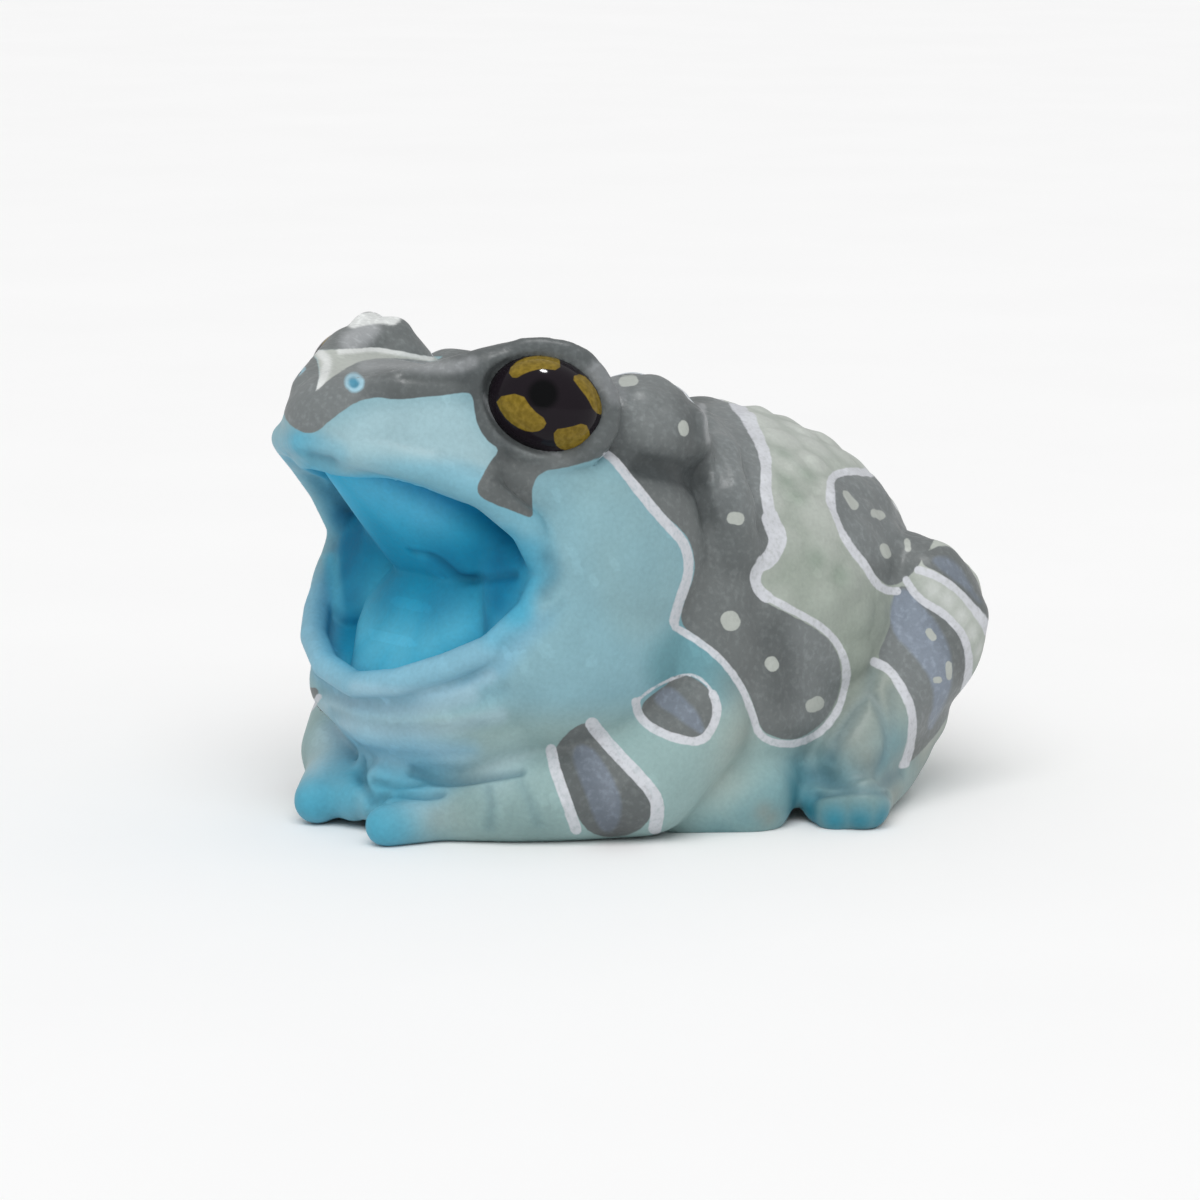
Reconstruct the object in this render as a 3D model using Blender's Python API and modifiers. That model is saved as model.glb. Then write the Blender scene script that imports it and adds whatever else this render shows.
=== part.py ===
"""A painted vinyl figure of an Amazon milk frog, sitting with its mouth wide open.

The frog faces -Y, +Z is up, its left side is +X, and it rests on z = 0.
Sizes below are in millimetres and become metres through MM.
A ball is (centre, radii), and a chain is a row of (x, y, z, radius) links.
"""

import math

import bmesh
import bpy
import numpy as np
from mathutils import Matrix, Vector

MM = 0.001
SIDES = (("left", 1), ("right", -1))

# How finely the skin is fused, how far it is softened, and how many triangles it keeps.
VOXEL = 0.5
MASS_SOFTENING = 8
SKIN_SOFTENING = 3
SKIN_TRIANGLES = 6000
BAG_VOXEL = 0.8
BAG_TRIANGLES = 300
PARTING_GAP = 0.3
BAG_MARGIN = 0.6
BLOCK_SIZE = 200

# How far the figure is moved along Y at the end, to put the middle of its length at the origin.
CENTRE_SHIFT = -3.184

# Trunk.
BARREL = ((0, 11.5, 15.6), (20, 22.6, 16.9))
NAPE = ((0, -1, 20), (16.5, 13, 14.5))
FLANK = ((11, 6.5, 9.3), (9.3, 12.5, 9.6))
FLANK_FOOT = [(14.5, 0, 2.6, 3.7), (17.8, 4.8, 2.3, 3.7), (15.2, 9.8, 4.2, 3.3), (16.4, 13.6, 3.7, 3.2)]
SHOULDER = ((13.4, 2.0, 14.6), (6.4, 5.8, 9.2))
NECK_FOLD = [
    (6, 9.4, 30.2, 2.4),
    (11.6, 5.8, 28.9, 2.6),
    (15.0, 3.8, 26.3, 2.6),
    (16.2, 3.8, 22.8, 2.7),
]

# Head and cheeks.
SKULL = ((0, -8, 28.7), (15.4, 12.6, 8.9))
MUZZLE = ((0, -18.4, 32.9), (8.4, 8.8, 5.3))
NOSE = ((0, -23.0, 33.8), (5.2, 4.5, 4.2))
BROW = ((10.3, -11.9, 35.0), (5.5, 5.3, 5.25))
CHEEK = ((10.5, -5, 22.5), (8.2, 10, 11))
JOWL = ((10.2, -6.5, 16), (8, 11, 10))
EAR_GLAND = ((10.8, -2.0, 32.2), (6.4, 6.2, 4.6))
TEMPLE = ((12.0, -8.4, 34.7), (3.1, 2.7, 3.8))
NECK_LOBE = ((10.2, 2.4, 29.4), (4.4, 3.6, 4.4))
EAR_DRUM = ((12.4, -3.6, 26.8), (5.5, 5.2, 4.8))
SNOUT = [
    (0, -26.1, 32.6, 1.4),
    (4.7, -23.9, 32.2, 1.4),
    (8.6, -20.9, 31.2, 1.4),
    (11.5, -17.7, 29.2, 1.4),
    (2.9, -23.5, 35.4, 1.7),
    (6.4, -19.0, 36.2, 1.9),
    (7.8, -14.8, 36.0, 1.9),
]
CANTHUS = [(3.1, -23.8, 36.1, 1.7), (6.6, -19, 37, 2.0), (9, -15, 37.6, 2.6), (9.4, -11.5, 37.9, 2.7)]
UPPER_RIM = 1.4
LOWER_RIM = 1.15

# Eyes: a flattened ball that looks outwards, forwards and a little up, in a raised ring. The room in front
# of it starts so far out from its middle, is so long and widens so many times.
EYE_CENTRE = (11.9, -12.1, 35.7)
EYE_RADII = (5.15, 4.2, 4.35)
EYE_TURN_OUT = 54
EYE_TILT_UP = 14
EYE_ROLL = -20
LID_REACH = 0.35
LID_RADIUS = 0.7
LID_DEPTH = 0.35
EYE_SPACE = (0.9, 5.0, 1.4)

# Mouth: the rims of both jaws, the hollow between them, and what lies in it.
UPPER_LIP = [
    (0, -26.4, 32.4),
    (5.2, -24.5, 32.1),
    (9.2, -21.3, 31.0),
    (12.0, -17.9, 29.0),
    (13.3, -14.8, 26.1),
    (13.4, -12.9, 22.8),
]
LOWER_LIP = [
    (13.4, -13.0, 22.2),
    (13.2, -14.3, 19.4),
    (11.5, -17.1, 16.4),
    (8.8, -19.5, 14.8),
    (4.8, -21.3, 13.2),
    (0, -21.9, 12.3),
]
CHIN = [(10.6, -14.2, 13, 3.2), (7.0, -17.2, 11, 3.4), (0, -18.4, 9.7, 3.6)]
THROAT = ((0, -11.5, 11.2), (13, 10, 8.2))
CAVITY = [
    (0, -23.8, 30.0, 1.6),
    (6.2, -20.6, 29.0, 1.6),
    (10.0, -14.8, 25.8, 1.5),
    (11.0, -12.0, 22.2, 1.5),
    (11.0, -12.8, 19.2, 1.5),
    (9.8, -14.8, 16.8, 1.6),
    (7.6, -17.2, 15.2, 1.6),
    (4.2, -19.0, 13.9, 1.6),
    (0, -19.6, 13.1, 1.6),
    (7.0, -9.2, 20.6, 1.4),
]
OPENING = [(0, -30, 22.0, 2.5), (9.5, -25, 22.0, 2.0), (14.0, -17.5, 21.5, 1.5)]
PALATE = [
    (1.2, -22.6, 30.6, 1.4),
    (3.0, -16.2, 27.6, 2.5),
    (2.8, -14.0, 22.6, 2.2),
    (7.4, -12.2, 23.6, 2.2),
]
CORNER_FILL = [
    (7.4, -12.2, 23.6, 2.2),
    (7.0, -11.6, 17.6, 2.6),
    (11.6, -12.4, 22.2, 1.9),
    (11.4, -13.3, 18.6, 1.7),
]
TONGUE = [
    [(2.2, -12.6, 20.0, 2.4), (7.0, -11.8, 17.6, 2.6), (4.6, -14.8, 15.2, 2.8)],
    [(4.6, -14.8, 15.2, 2.8), (2.8, -17.6, 12.2, 2.2)],
]

# Limbs. The two arms lie differently, the hind legs alike.
ARMS = {
    "left": [
        (14.0, 2.0, 12.5, 4.0),
        (16.6, 0.2, 9.2, 4.5),
        (15.4, -4.6, 5.0, 5.0),
        (11.8, -10.4, 3.8, 4.0),
    ],
    "right": [
        (-14.0, 1.0, 13, 4.0),
        (-16.2, -3.6, 9.4, 4.5),
        (-14.2, -10.4, 5.2, 4.6),
        (-11.2, -15.0, 4.2, 3.4),
    ],
}
HANDS = {
    "left": [
        [(11.8, -10.4, 3.8, 4.0), (9.8, -13.4, 3.2, 3.4), (6.0, -18.0, 1.8, 1.9), (4.8, -22.6, 1.6, 1.8)],
        [(7.8, -14.4, 3.2, 2.4), (2.8, -19.8, 2.6, 1.4)],
        [(7.8, -13.6, 3.4, 2.4), (0.2, -19.2, 4.0, 1.7)],
    ],
    "right": [
        [(-11.2, -15.0, 4.2, 3.4), (-8.4, -17.2, 3.0, 2.8), (-5.2, -22.0, 1.9, 2.0)],
        [(-8.4, -17.0, 3.0, 2.6), (-2.4, -20.2, 2.2, 1.9)],
    ],
}
THIGH = ((15.4, 25.2, 14), (6.7, 6.0, 7.5))
LEG = [(16.0, 24.4, 12.5, 6.0), (18.0, 20.6, 8.8, 4.1), (21.2, 13.2, 5.2, 2.9)]
SHIN = [(20.6, 14.5, 5.0, 2.5), (16.2, 23.0, 7.2, 4.4)]
FOOT = [(15.8, 22.8, 4.5, 3.5), (18.4, 19.4, 3.0, 2.9), (22.6, 12.4, 2.0, 2.7)]
TOES = [
    [(21.6, 14.5, 2.0, 2.4), (24.5, 11.4, 1.9, 2.3)],
    [(21.6, 14.5, 2.0, 2.4), (22.8, 9.9, 1.3, 2.0)],
    [(21.6, 14.5, 2.0, 2.4), (20.9, 10.3, 1.5, 1.9)],
]

# Where the skin is parted: wrists, ankles, neck and jaw hinge, each a point and a direction.
WRISTS = {"left": ((10.2, -12.6, 3), (-0.62, -0.78, 0)), "right": ((-9.8, -15.8, 3), (0.62, -0.78, 0))}
ANKLE = ((16.4, 22.6, 5.2), (0.35, -0.5, -0.8))
NECK = ((0, 1.5, 20), (0, -0.96, 0.28))
HINGE = ((0, -12.8, 22.4), (0, -0.16, -0.987))

COLOURS = {
    "head": (0.42, 0.50, 0.50),
    "lower_jaw": (0.36, 0.58, 0.62),
    "tongue": (0.09, 0.38, 0.52),
    "torso": (0.36, 0.39, 0.36),
    "arm": (0.40, 0.55, 0.55),
    "hand": (0.25, 0.48, 0.56),
    "leg": (0.20, 0.21, 0.22),
    "foot": (0.25, 0.40, 0.46),
    "eye": (0.02, 0.018, 0.015),
}
SKIN_ROUGHNESS = 0.55
EYE_ROUGHNESS = 0.12


def mirrored(point, side):
    return (point[0] * side, *point[1:])


def new_object(name, form):
    mesh = bpy.data.meshes.new(name)
    form.to_mesh(mesh)
    form.free()
    made = bpy.data.objects.new(name, mesh)
    bpy.context.scene.collection.objects.link(made)
    return made


def remove_object(obj):
    mesh = obj.data
    bpy.data.objects.remove(obj)
    bpy.data.meshes.remove(mesh)


def bake_modifiers(obj):
    """Replaces the object's mesh by what its modifiers make of it."""
    graph = bpy.context.evaluated_depsgraph_get()
    baked = bpy.data.meshes.new_from_object(obj.evaluated_get(graph))
    old = obj.data
    obj.modifiers.clear()
    obj.data = baked
    bpy.data.meshes.remove(old)
    return obj


def add_ball(form, ball, side=1):
    """An ellipsoid, mirrored where side is -1."""
    centre, radii = ball
    place = Matrix.Translation(Vector(mirrored(centre, side)) * MM)
    size = Matrix.Diagonal((*(Vector(radii) * MM), 1))
    bmesh.ops.create_icosphere(form, subdivisions=4, radius=1, matrix=place @ size)


def add_hull(form, links):
    """The hull of a set of (x, y, z, radius) balls."""
    hull = bmesh.new()
    for x, y, z, radius in links:
        place = Matrix.Translation(Vector((x, y, z)) * MM)
        bmesh.ops.create_icosphere(hull, subdivisions=3, radius=radius * MM, matrix=place)
    made = bmesh.ops.convex_hull(hull, input=hull.verts)
    inner = [v for v in made["geom_interior"] if isinstance(v, bmesh.types.BMVert)]
    bmesh.ops.delete(hull, geom=inner, context="VERTS")
    piece = bpy.data.meshes.new("hull")
    hull.to_mesh(piece)
    hull.free()
    form.from_mesh(piece)
    bpy.data.meshes.remove(piece)


def add_double_hull(form, links, grow=0):
    """The hull of a set of balls and their mirror images."""
    add_hull(form, [(x * side, y, z, radius + grow) for x, y, z, radius in links for _, side in SIDES])


def add_chain(form, links, side=1, grow=0):
    """Tapered links, each the hull of the balls at its two ends."""
    balls = [(x * side, y, z, radius + grow) for x, y, z, radius in links]
    for pair in zip(balls, balls[1:]):
        add_hull(form, pair)


def fuse(obj, voxel, rounds):
    """Fuses overlapping closed shapes into one skin and softens the seams between them."""
    remesh = obj.modifiers.new("fuse", "REMESH")
    remesh.mode = "VOXEL"
    remesh.voxel_size = voxel * MM
    soften = obj.modifiers.new("soften", "SMOOTH")
    soften.factor = 0.5
    soften.iterations = rounds
    return bake_modifiers(obj)


def thin_out(obj, triangles):
    count = sum(len(face.vertices) - 2 for face in obj.data.polygons)
    thin = obj.modifiers.new("thin", "DECIMATE")
    thin.use_collapse_triangulate = True
    thin.ratio = min(1, triangles / count)
    return bake_modifiers(obj)


def boolean(obj, other, operation):
    step = obj.modifiers.new("step", "BOOLEAN")
    step.operation = operation
    step.solver = "MANIFOLD"
    step.object = other
    return bake_modifiers(obj)


def duplicate(obj, name):
    made = obj.copy()
    made.data = obj.data.copy()
    made.name = name
    bpy.context.scene.collection.objects.link(made)
    return made


def keep_largest(obj):
    """Drops every closed surface but the one that fills the largest volume."""
    form = bmesh.new()
    form.from_mesh(obj.data)
    bmesh.ops.triangulate(form, faces=form.faces)
    left = set(form.faces)
    shells = []
    while left:
        start = left.pop()
        shell = [start]
        queue = [start]
        while queue:
            for edge in queue.pop().edges:
                for face in edge.link_faces:
                    if face in left:
                        left.remove(face)
                        shell.append(face)
                        queue.append(face)
        shells.append(shell)
    shells.sort(key=shell_volume)
    loose = [face for shell in shells[:-1] for face in shell]
    bmesh.ops.delete(form, geom=loose, context="FACES")
    form.to_mesh(obj.data)
    form.free()
    return obj


def shell_volume(shell):
    corners = np.array([[vert.co for vert in face.verts] for face in shell])
    return abs(np.einsum("ij,ij->i", corners[:, 0], np.cross(corners[:, 1], corners[:, 2])).sum()) / 6


def add_masses(form):
    """Everything but the lips, which are laid on once the mouth is hollowed."""
    for ball in (BARREL, NAPE, SKULL, MUZZLE, NOSE, THROAT):
        add_ball(form, ball)
    add_double_hull(form, SNOUT)
    for name, side in SIDES:
        for ball in (FLANK, SHOULDER, BROW, TEMPLE, CHEEK, JOWL, EAR_GLAND, EAR_DRUM, NECK_LOBE, THIGH):
            add_ball(form, ball, side)
        for chain in (FLANK_FOOT, NECK_FOLD, CANTHUS, CHIN, LEG, SHIN, FOOT, *TOES):
            add_chain(form, chain, side)
        for chain in (ARMS[name], *HANDS[name]):
            add_chain(form, chain)


def add_cavity(form):
    """The wedge between the jaws, and the way out of it between the lips."""
    add_double_hull(form, CAVITY + OPENING)


def add_eye_spaces(form):
    """The room in front of each eye: an oval cone that widens outwards from the lid."""
    start, length, flare = EYE_SPACE
    for _, side in SIDES:
        place = eye_frame(side) @ Matrix.Translation((0, 0, (start + length / 2) * MM))
        size = Matrix.Diagonal((*(Vector((*EYE_RADII[:2], length)) * MM), 1))
        bmesh.ops.create_cone(
            form, cap_ends=True, segments=48, radius1=1, radius2=flare, depth=1, matrix=place @ size
        )
    bmesh.ops.recalc_face_normals(form, faces=form.faces)


def add_lips(form):
    for _, side in SIDES:
        add_chain(form, [(*point, UPPER_RIM) for point in UPPER_LIP], side)
        add_chain(form, [(*point, LOWER_RIM) for point in LOWER_LIP], side)


def add_mouth_forms(form):
    add_double_hull(form, PALATE)
    for _, side in SIDES:
        add_hull(form, [(x * side, y, z, radius) for x, y, z, radius in CORNER_FILL])
    add_tongue(form)


def add_tongue(form, grow=0):
    for links in TONGUE:
        add_double_hull(form, links, grow)


def eye_frame(side):
    """The eye's own frame: along its slit, across it, and outwards."""
    out = math.radians(EYE_TURN_OUT)
    tilt = math.radians(EYE_TILT_UP)
    outward = Vector((math.sin(out) * math.cos(tilt), -math.cos(out) * math.cos(tilt), math.sin(tilt)))
    level = Vector((0, 0, 1)).cross(outward).normalized()
    along = Matrix.Rotation(math.radians(EYE_ROLL), 3, outward) @ level
    axes = Matrix((along, outward.cross(along), outward)).transposed().to_4x4()
    mirror = Matrix.Diagonal((side, 1, 1, 1))
    return mirror @ Matrix.Translation(Vector(EYE_CENTRE) * MM) @ axes


def add_eye(form, side, grow=0):
    size = Matrix.Diagonal((*((Vector(EYE_RADII) + Vector((grow,) * 3)) * MM), 1))
    bmesh.ops.create_uvsphere(form, u_segments=22, v_segments=12, radius=1, matrix=eye_frame(side) @ size)
    bmesh.ops.recalc_face_normals(form, faces=form.faces)


def add_lid(form, side, steps=20):
    """The raised ring of skin that the eye looks out of."""
    frame = eye_frame(side)
    ring = []
    for step in range(steps + 1):
        angle = math.tau * step / steps
        along = (EYE_RADII[0] + LID_REACH) * math.cos(angle)
        across = (EYE_RADII[1] + LID_REACH) * math.sin(angle)
        ring.append((*(frame @ (Vector((along, across, LID_DEPTH)) * MM) / MM), LID_RADIUS))
    add_chain(form, ring)


def make_skin(voxel):
    form = bmesh.new()
    add_masses(form)
    skin = fuse(new_object("skin", form), voxel, MASS_SOFTENING)
    cavity_form = bmesh.new()
    add_cavity(cavity_form)
    add_eye_spaces(cavity_form)
    cavity = fuse(new_object("cavity", cavity_form), voxel, SKIN_SOFTENING)
    boolean(skin, cavity, "DIFFERENCE")
    remove_object(cavity)
    extra = bmesh.new()
    extra.from_mesh(skin.data)
    add_lips(extra)
    add_mouth_forms(extra)
    for _, side in SIDES:
        add_lid(extra, side)
    extra.to_mesh(skin.data)
    extra.free()
    return keep_largest(fuse(skin, voxel, SKIN_SOFTENING))


def half_space(name, point, direction, offset=0):
    """A large block whose near face passes through the point, square to the direction."""
    form = bmesh.new()
    axis = Vector(direction).normalized()
    centre = Vector(point) + axis * (BLOCK_SIZE / 2 + offset)
    turn = axis.to_track_quat("Z", "Y").to_matrix().to_4x4()
    place = Matrix.Translation(centre * MM) @ turn
    bmesh.ops.create_cube(form, size=BLOCK_SIZE * MM, matrix=place)
    return new_object(name, form)


def bag(name, adders, grow):
    form = bmesh.new()
    for adder in adders:
        adder(form, grow)
    made = fuse(new_object(name, form), BAG_VOXEL, 0)
    return thin_out(made, BAG_TRIANGLES)


def take(skin, name, inner, outer):
    """Parts a piece from the skin: it keeps what lies in inner, and the skin what lies past outer."""
    piece = boolean(duplicate(skin, name), inner, "INTERSECT")
    boolean(skin, outer, "DIFFERENCE")
    for cutter in (inner, outer):
        remove_object(cutter)
    keep_largest(skin)
    return keep_largest(piece)


def take_side(skin, name, cut, side=1):
    point, direction = cut
    point = mirrored(point, side)
    direction = mirrored(direction, side)
    inner = half_space("inner", point, direction)
    outer = half_space("outer", point, direction, -PARTING_GAP)
    return take(skin, name, inner, outer)


def take_bag(skin, name, adders):
    inner = bag("inner", adders, BAG_MARGIN)
    outer = bag("outer", adders, BAG_MARGIN + PARTING_GAP)
    return take(skin, name, inner, outer)


def chain_adder(chain, side=1):
    return lambda form, grow: add_chain(form, chain, side, grow)


def ball_adder(ball, side):
    centre, radii = ball
    return lambda form, grow: add_ball(form, (centre, [radius + grow for radius in radii]), side)


def part_limbs(skin):
    for name, side in SIDES:
        arm_chains = [ARMS[name], *HANDS[name]]
        arm = take_bag(skin, "arm_" + name, [chain_adder(chain) for chain in arm_chains])
        take_side(arm, "hand_" + name, WRISTS[name])
        leg_chains = [LEG, SHIN, FOOT, *TOES]
        leg_adders = [chain_adder(chain, side) for chain in leg_chains] + [ball_adder(THIGH, side)]
        leg = take_bag(skin, "leg_" + name, leg_adders)
        take_side(leg, "foot_" + name, ANKLE, side)


def part_eyes(skin):
    for name, side in SIDES:
        form = bmesh.new()
        add_eye(form, side, PARTING_GAP)
        socket = new_object("socket", form)
        boolean(skin, socket, "DIFFERENCE")
        remove_object(socket)
        eye = bmesh.new()
        add_eye(eye, side)
        new_object("eye_" + name, eye)
    keep_largest(skin)


def set_material(obj, kind):
    material = bpy.data.materials.new(kind)
    material.use_nodes = True
    shader = material.node_tree.nodes["Principled BSDF"]
    shader.inputs["Base Color"].default_value = (*COLOURS[kind], 1)
    shader.inputs["Roughness"].default_value = EYE_ROUGHNESS if kind == "eye" else SKIN_ROUGHNESS
    shader.inputs["Metallic"].default_value = 0
    obj.data.materials.clear()
    obj.data.materials.append(material)
    obj.data.shade_smooth()


def centre_pieces():
    shift = Matrix.Translation((0, CENTRE_SHIFT * MM, 0))
    for obj in bpy.data.objects:
        obj.data.transform(shift)


def build():
    skin = thin_out(make_skin(VOXEL), SKIN_TRIANGLES)
    floor = half_space("floor", (0, 0, 0), (0, 0, -1))
    boolean(skin, floor, "DIFFERENCE")
    remove_object(floor)
    part_eyes(skin)
    part_limbs(skin)
    take_bag(skin, "tongue", [add_tongue])
    head = take_side(skin, "head", NECK)
    take_side(head, "lower_jaw", HINGE)
    skin.name = "torso"
    centre_pieces()


def main():
    for obj in list(bpy.data.objects):
        bpy.data.objects.remove(obj)
    build()
    figure = bpy.data.collections.new("milk_frog_figure")
    bpy.context.scene.collection.children.link(figure)
    for obj in list(bpy.context.scene.collection.objects):
        bpy.context.scene.collection.objects.unlink(obj)
        figure.objects.link(obj)
        set_material(obj, obj.name.replace("_left", "").replace("_right", ""))


main()
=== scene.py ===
"""The figure's looks: one painted skin over its parts, glossy eyes, a pale floor and soft light.

The frog faces -Y, +Z is up and its left side is +X. Sizes are in millimetres.
The paint and the folds are laid out by contours in pixels of the 1200 x 1200 photo. They are
cast from its camera onto the skin, and mirrored to the other side.
"""

import math

import bmesh
import bpy
import numpy as np
from mathutils import Matrix, Vector
from mathutils.bvhtree import BVHTree
from mathutils.kdtree import KDTree


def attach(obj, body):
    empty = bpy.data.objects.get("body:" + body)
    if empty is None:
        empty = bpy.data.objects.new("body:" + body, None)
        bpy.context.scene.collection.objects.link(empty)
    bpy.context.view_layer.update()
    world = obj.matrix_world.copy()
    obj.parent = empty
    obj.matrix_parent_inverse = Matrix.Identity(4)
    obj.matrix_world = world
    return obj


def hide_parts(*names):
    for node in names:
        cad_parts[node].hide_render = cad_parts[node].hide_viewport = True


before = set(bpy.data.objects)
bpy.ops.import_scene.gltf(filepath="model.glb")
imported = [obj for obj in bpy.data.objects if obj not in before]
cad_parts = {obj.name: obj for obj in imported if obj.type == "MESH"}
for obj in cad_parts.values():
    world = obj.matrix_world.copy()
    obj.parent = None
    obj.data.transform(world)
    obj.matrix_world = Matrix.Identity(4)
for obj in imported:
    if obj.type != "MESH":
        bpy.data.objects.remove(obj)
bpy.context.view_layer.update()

MM = 0.001
SIDES = (("left", 1), ("right", -1))

# The skin is fused finer than the solids, with as much softening over each millimetre.
VOXEL = 0.27
MASS_SOFTENING = 27
SKIN_SOFTENING = 10

# How far the figure is moved along Y at the end, to put the middle of its length at the origin.
CENTRE_SHIFT = -3.184

# Trunk.
BARREL = ((0, 11.5, 15.6), (20, 22.6, 16.9))
NAPE = ((0, -1, 20), (16.5, 13, 14.5))
FLANK = ((11, 6.5, 9.3), (9.3, 12.5, 9.6))
FLANK_FOOT = [(14.5, 0, 2.6, 3.7), (17.8, 4.8, 2.3, 3.7), (15.2, 9.8, 4.2, 3.3),
              (16.4, 13.6, 3.7, 3.2), (18.7, 11.5, 3.2, 2.2)]
SHOULDER = ((13.4, 2.0, 14.6), (6.4, 5.8, 9.2))
NECK_FOLD = [
    (6, 9.4, 30.2, 2.4), (11.6, 5.8, 28.9, 2.6), (15.0, 3.8, 26.3, 2.6), (16.2, 3.8, 22.8, 2.7),
]

# Head and cheeks.
SKULL = ((0, -8, 28.7), (15.4, 12.6, 8.9))
MUZZLE = ((0, -18.4, 32.9), (8.4, 8.8, 5.3))
NOSE = ((0, -23.0, 33.8), (5.2, 4.5, 4.2))
BROW = ((10.3, -11.9, 35.0), (5.5, 5.3, 5.25))
CHEEK = ((10.5, -5, 22.5), (8.2, 10, 11))
JOWL = ((10.2, -6.5, 16), (8, 11, 10))
EAR_GLAND = ((10.8, -2.0, 32.2), (6.4, 6.2, 4.6))
TEMPLE = ((12.0, -8.4, 34.7), (3.1, 2.7, 3.8))
NECK_LOBE = ((10.2, 2.4, 29.4), (4.4, 3.6, 4.4))
EAR_DRUM = ((12.4, -3.6, 26.8), (5.5, 5.2, 4.8))
SNOUT = [
    (0, -26.1, 32.6, 1.4), (4.7, -23.9, 32.2, 1.4), (8.6, -20.9, 31.2, 1.4), (11.5, -17.7, 29.2, 1.4),
    (2.9, -23.5, 35.4, 1.7), (6.4, -19.0, 36.2, 1.9), (7.8, -14.8, 36.0, 1.9),
]
CANTHUS = [(3.1, -23.8, 36.1, 1.7), (6.6, -19, 37, 2.0), (9, -15, 37.6, 2.6), (9.4, -11.5, 37.9, 2.7)]
UPPER_RIM = 1.4
LOWER_RIM = 1.15

# Eyes: a flattened ball that looks outwards, forwards and a little up, in a raised ring. The room in front
# of it starts so far out from its middle, is so long and widens so many times.
EYE_CENTRE = (12.0, -11.95, 35.5)
EYE_RADII = (4.75, 3.85, 4.2)
EYE_TURN_OUT = 54
EYE_TILT_UP = 14
EYE_ROLL = -20
EYE_SEGMENTS = 256
LID_REACH = 0.55
LID_RADIUS = 0.95
LID_DEPTH = 0.35
EYE_SPACE = (0.9, 5.0, 1.4)

# Mouth: the rims of both jaws, the hollow between them, and what lies in it.
UPPER_LIP = [
    (0, -26.4, 32.4), (5.2, -24.5, 32.1), (9.2, -21.3, 31.0), (12.0, -17.9, 29.0), (13.3, -14.8, 26.1),
    (13.4, -12.9, 22.8),
]
LOWER_LIP = [
    (13.4, -13.0, 22.2), (13.2, -14.3, 19.4), (11.5, -17.1, 16.4), (8.8, -19.5, 14.8), (4.8, -21.3, 13.2),
    (0, -21.9, 12.3),
]
CHIN = [(10.6, -14.2, 13, 3.2), (7.0, -17.2, 11, 3.4), (0, -18.4, 9.7, 3.6)]
THROAT = ((0, -11.5, 11.2), (13, 10, 8.2))
CAVITY = [
    (0, -23.8, 30.0, 1.6), (6.2, -20.6, 29.0, 1.6), (10.0, -14.8, 25.8, 1.5), (11.0, -12.0, 22.2, 1.5),
    (11.0, -12.8, 19.2, 1.5), (9.8, -14.8, 16.8, 1.6), (7.6, -17.2, 15.2, 1.6), (4.2, -19.0, 13.9, 1.6),
    (0, -19.6, 13.1, 1.6), (7.0, -9.2, 20.6, 1.4),
]
OPENING = [(0, -30, 22.0, 2.5), (9.5, -25, 22.0, 2.0), (14.0, -17.5, 21.5, 1.5)]
PALATE = [
    (1.2, -22.6, 30.6, 1.4), (3.0, -16.2, 27.6, 2.5), (2.8, -14.0, 22.6, 2.2), (7.4, -12.2, 23.6, 2.2),
]
CORNER_FILL = [
    (7.4, -12.2, 23.6, 2.2), (7.0, -11.6, 17.6, 2.6), (11.6, -12.4, 22.2, 1.9), (11.4, -13.3, 18.6, 1.7),
    (10.2, -14.4, 16.4, 1.6),
]
TONGUE = [
    [(2.2, -12.6, 20.0, 2.4), (7.0, -11.8, 17.6, 2.6), (4.6, -14.8, 15.2, 2.8)],
    [(4.6, -14.8, 15.2, 2.8), (2.8, -17.6, 12.2, 2.2)],
]

# Limbs. The two arms lie differently, the hind legs alike.
ARMS = {
    "left": [
        (14.0, 2.0, 12.5, 4.0), (16.6, 0.2, 9.2, 4.5), (15.4, -4.6, 5.0, 5.0), (11.8, -10.4, 3.8, 4.0),
    ],
    "right": [
        (-14.0, 1.0, 13, 4.0), (-16.2, -3.6, 9.4, 4.5), (-14.2, -10.4, 5.2, 4.6), (-11.2, -15.0, 4.2, 3.4),
    ],
}
HANDS = {
    "left": [
        [(11.8, -10.4, 3.8, 4.0), (9.8, -13.4, 3.2, 3.4), (6.0, -18.0, 1.8, 1.9), (4.8, -22.6, 1.6, 1.8)],
        [(7.8, -14.4, 3.2, 2.4), (2.8, -19.8, 2.6, 1.4)],
        [(7.8, -13.6, 3.4, 2.4), (0.2, -19.2, 4.0, 1.7)],
    ],
    "right": [
        [(-11.2, -15.0, 4.2, 3.4), (-8.4, -17.2, 3.0, 2.8), (-5.2, -22.0, 1.9, 2.0)],
        [(-8.4, -17.0, 3.0, 2.6), (-2.4, -20.2, 2.2, 1.9)],
    ],
}
HAND_FILL = [(-2.4, -17.0, 4.8, 2.3), (1.0, -16.4, 4.4, 2.3), (0, -20.0, 2.3, 1.7)]
THIGH = ((15.4, 25.2, 14), (6.7, 6.0, 7.5))
LEG = [(16.0, 24.4, 12.5, 6.0), (18.0, 20.6, 8.8, 4.1), (21.2, 13.2, 5.2, 2.9)]
SHIN = [(20.6, 14.5, 5.0, 2.5), (16.2, 23.0, 7.2, 4.4)]
FOOT = [(15.8, 22.8, 4.5, 3.5), (18.4, 19.4, 3.0, 2.9), (22.6, 12.4, 2.0, 2.7)]
TOES = [
    [(21.6, 14.5, 2.0, 2.4), (24.5, 11.4, 1.9, 2.3)],
    [(21.6, 14.5, 2.0, 2.4), (22.8, 9.9, 1.3, 2.0)],
    [(21.6, 14.5, 2.0, 2.4), (20.9, 10.3, 1.5, 1.9)],
]

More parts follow.
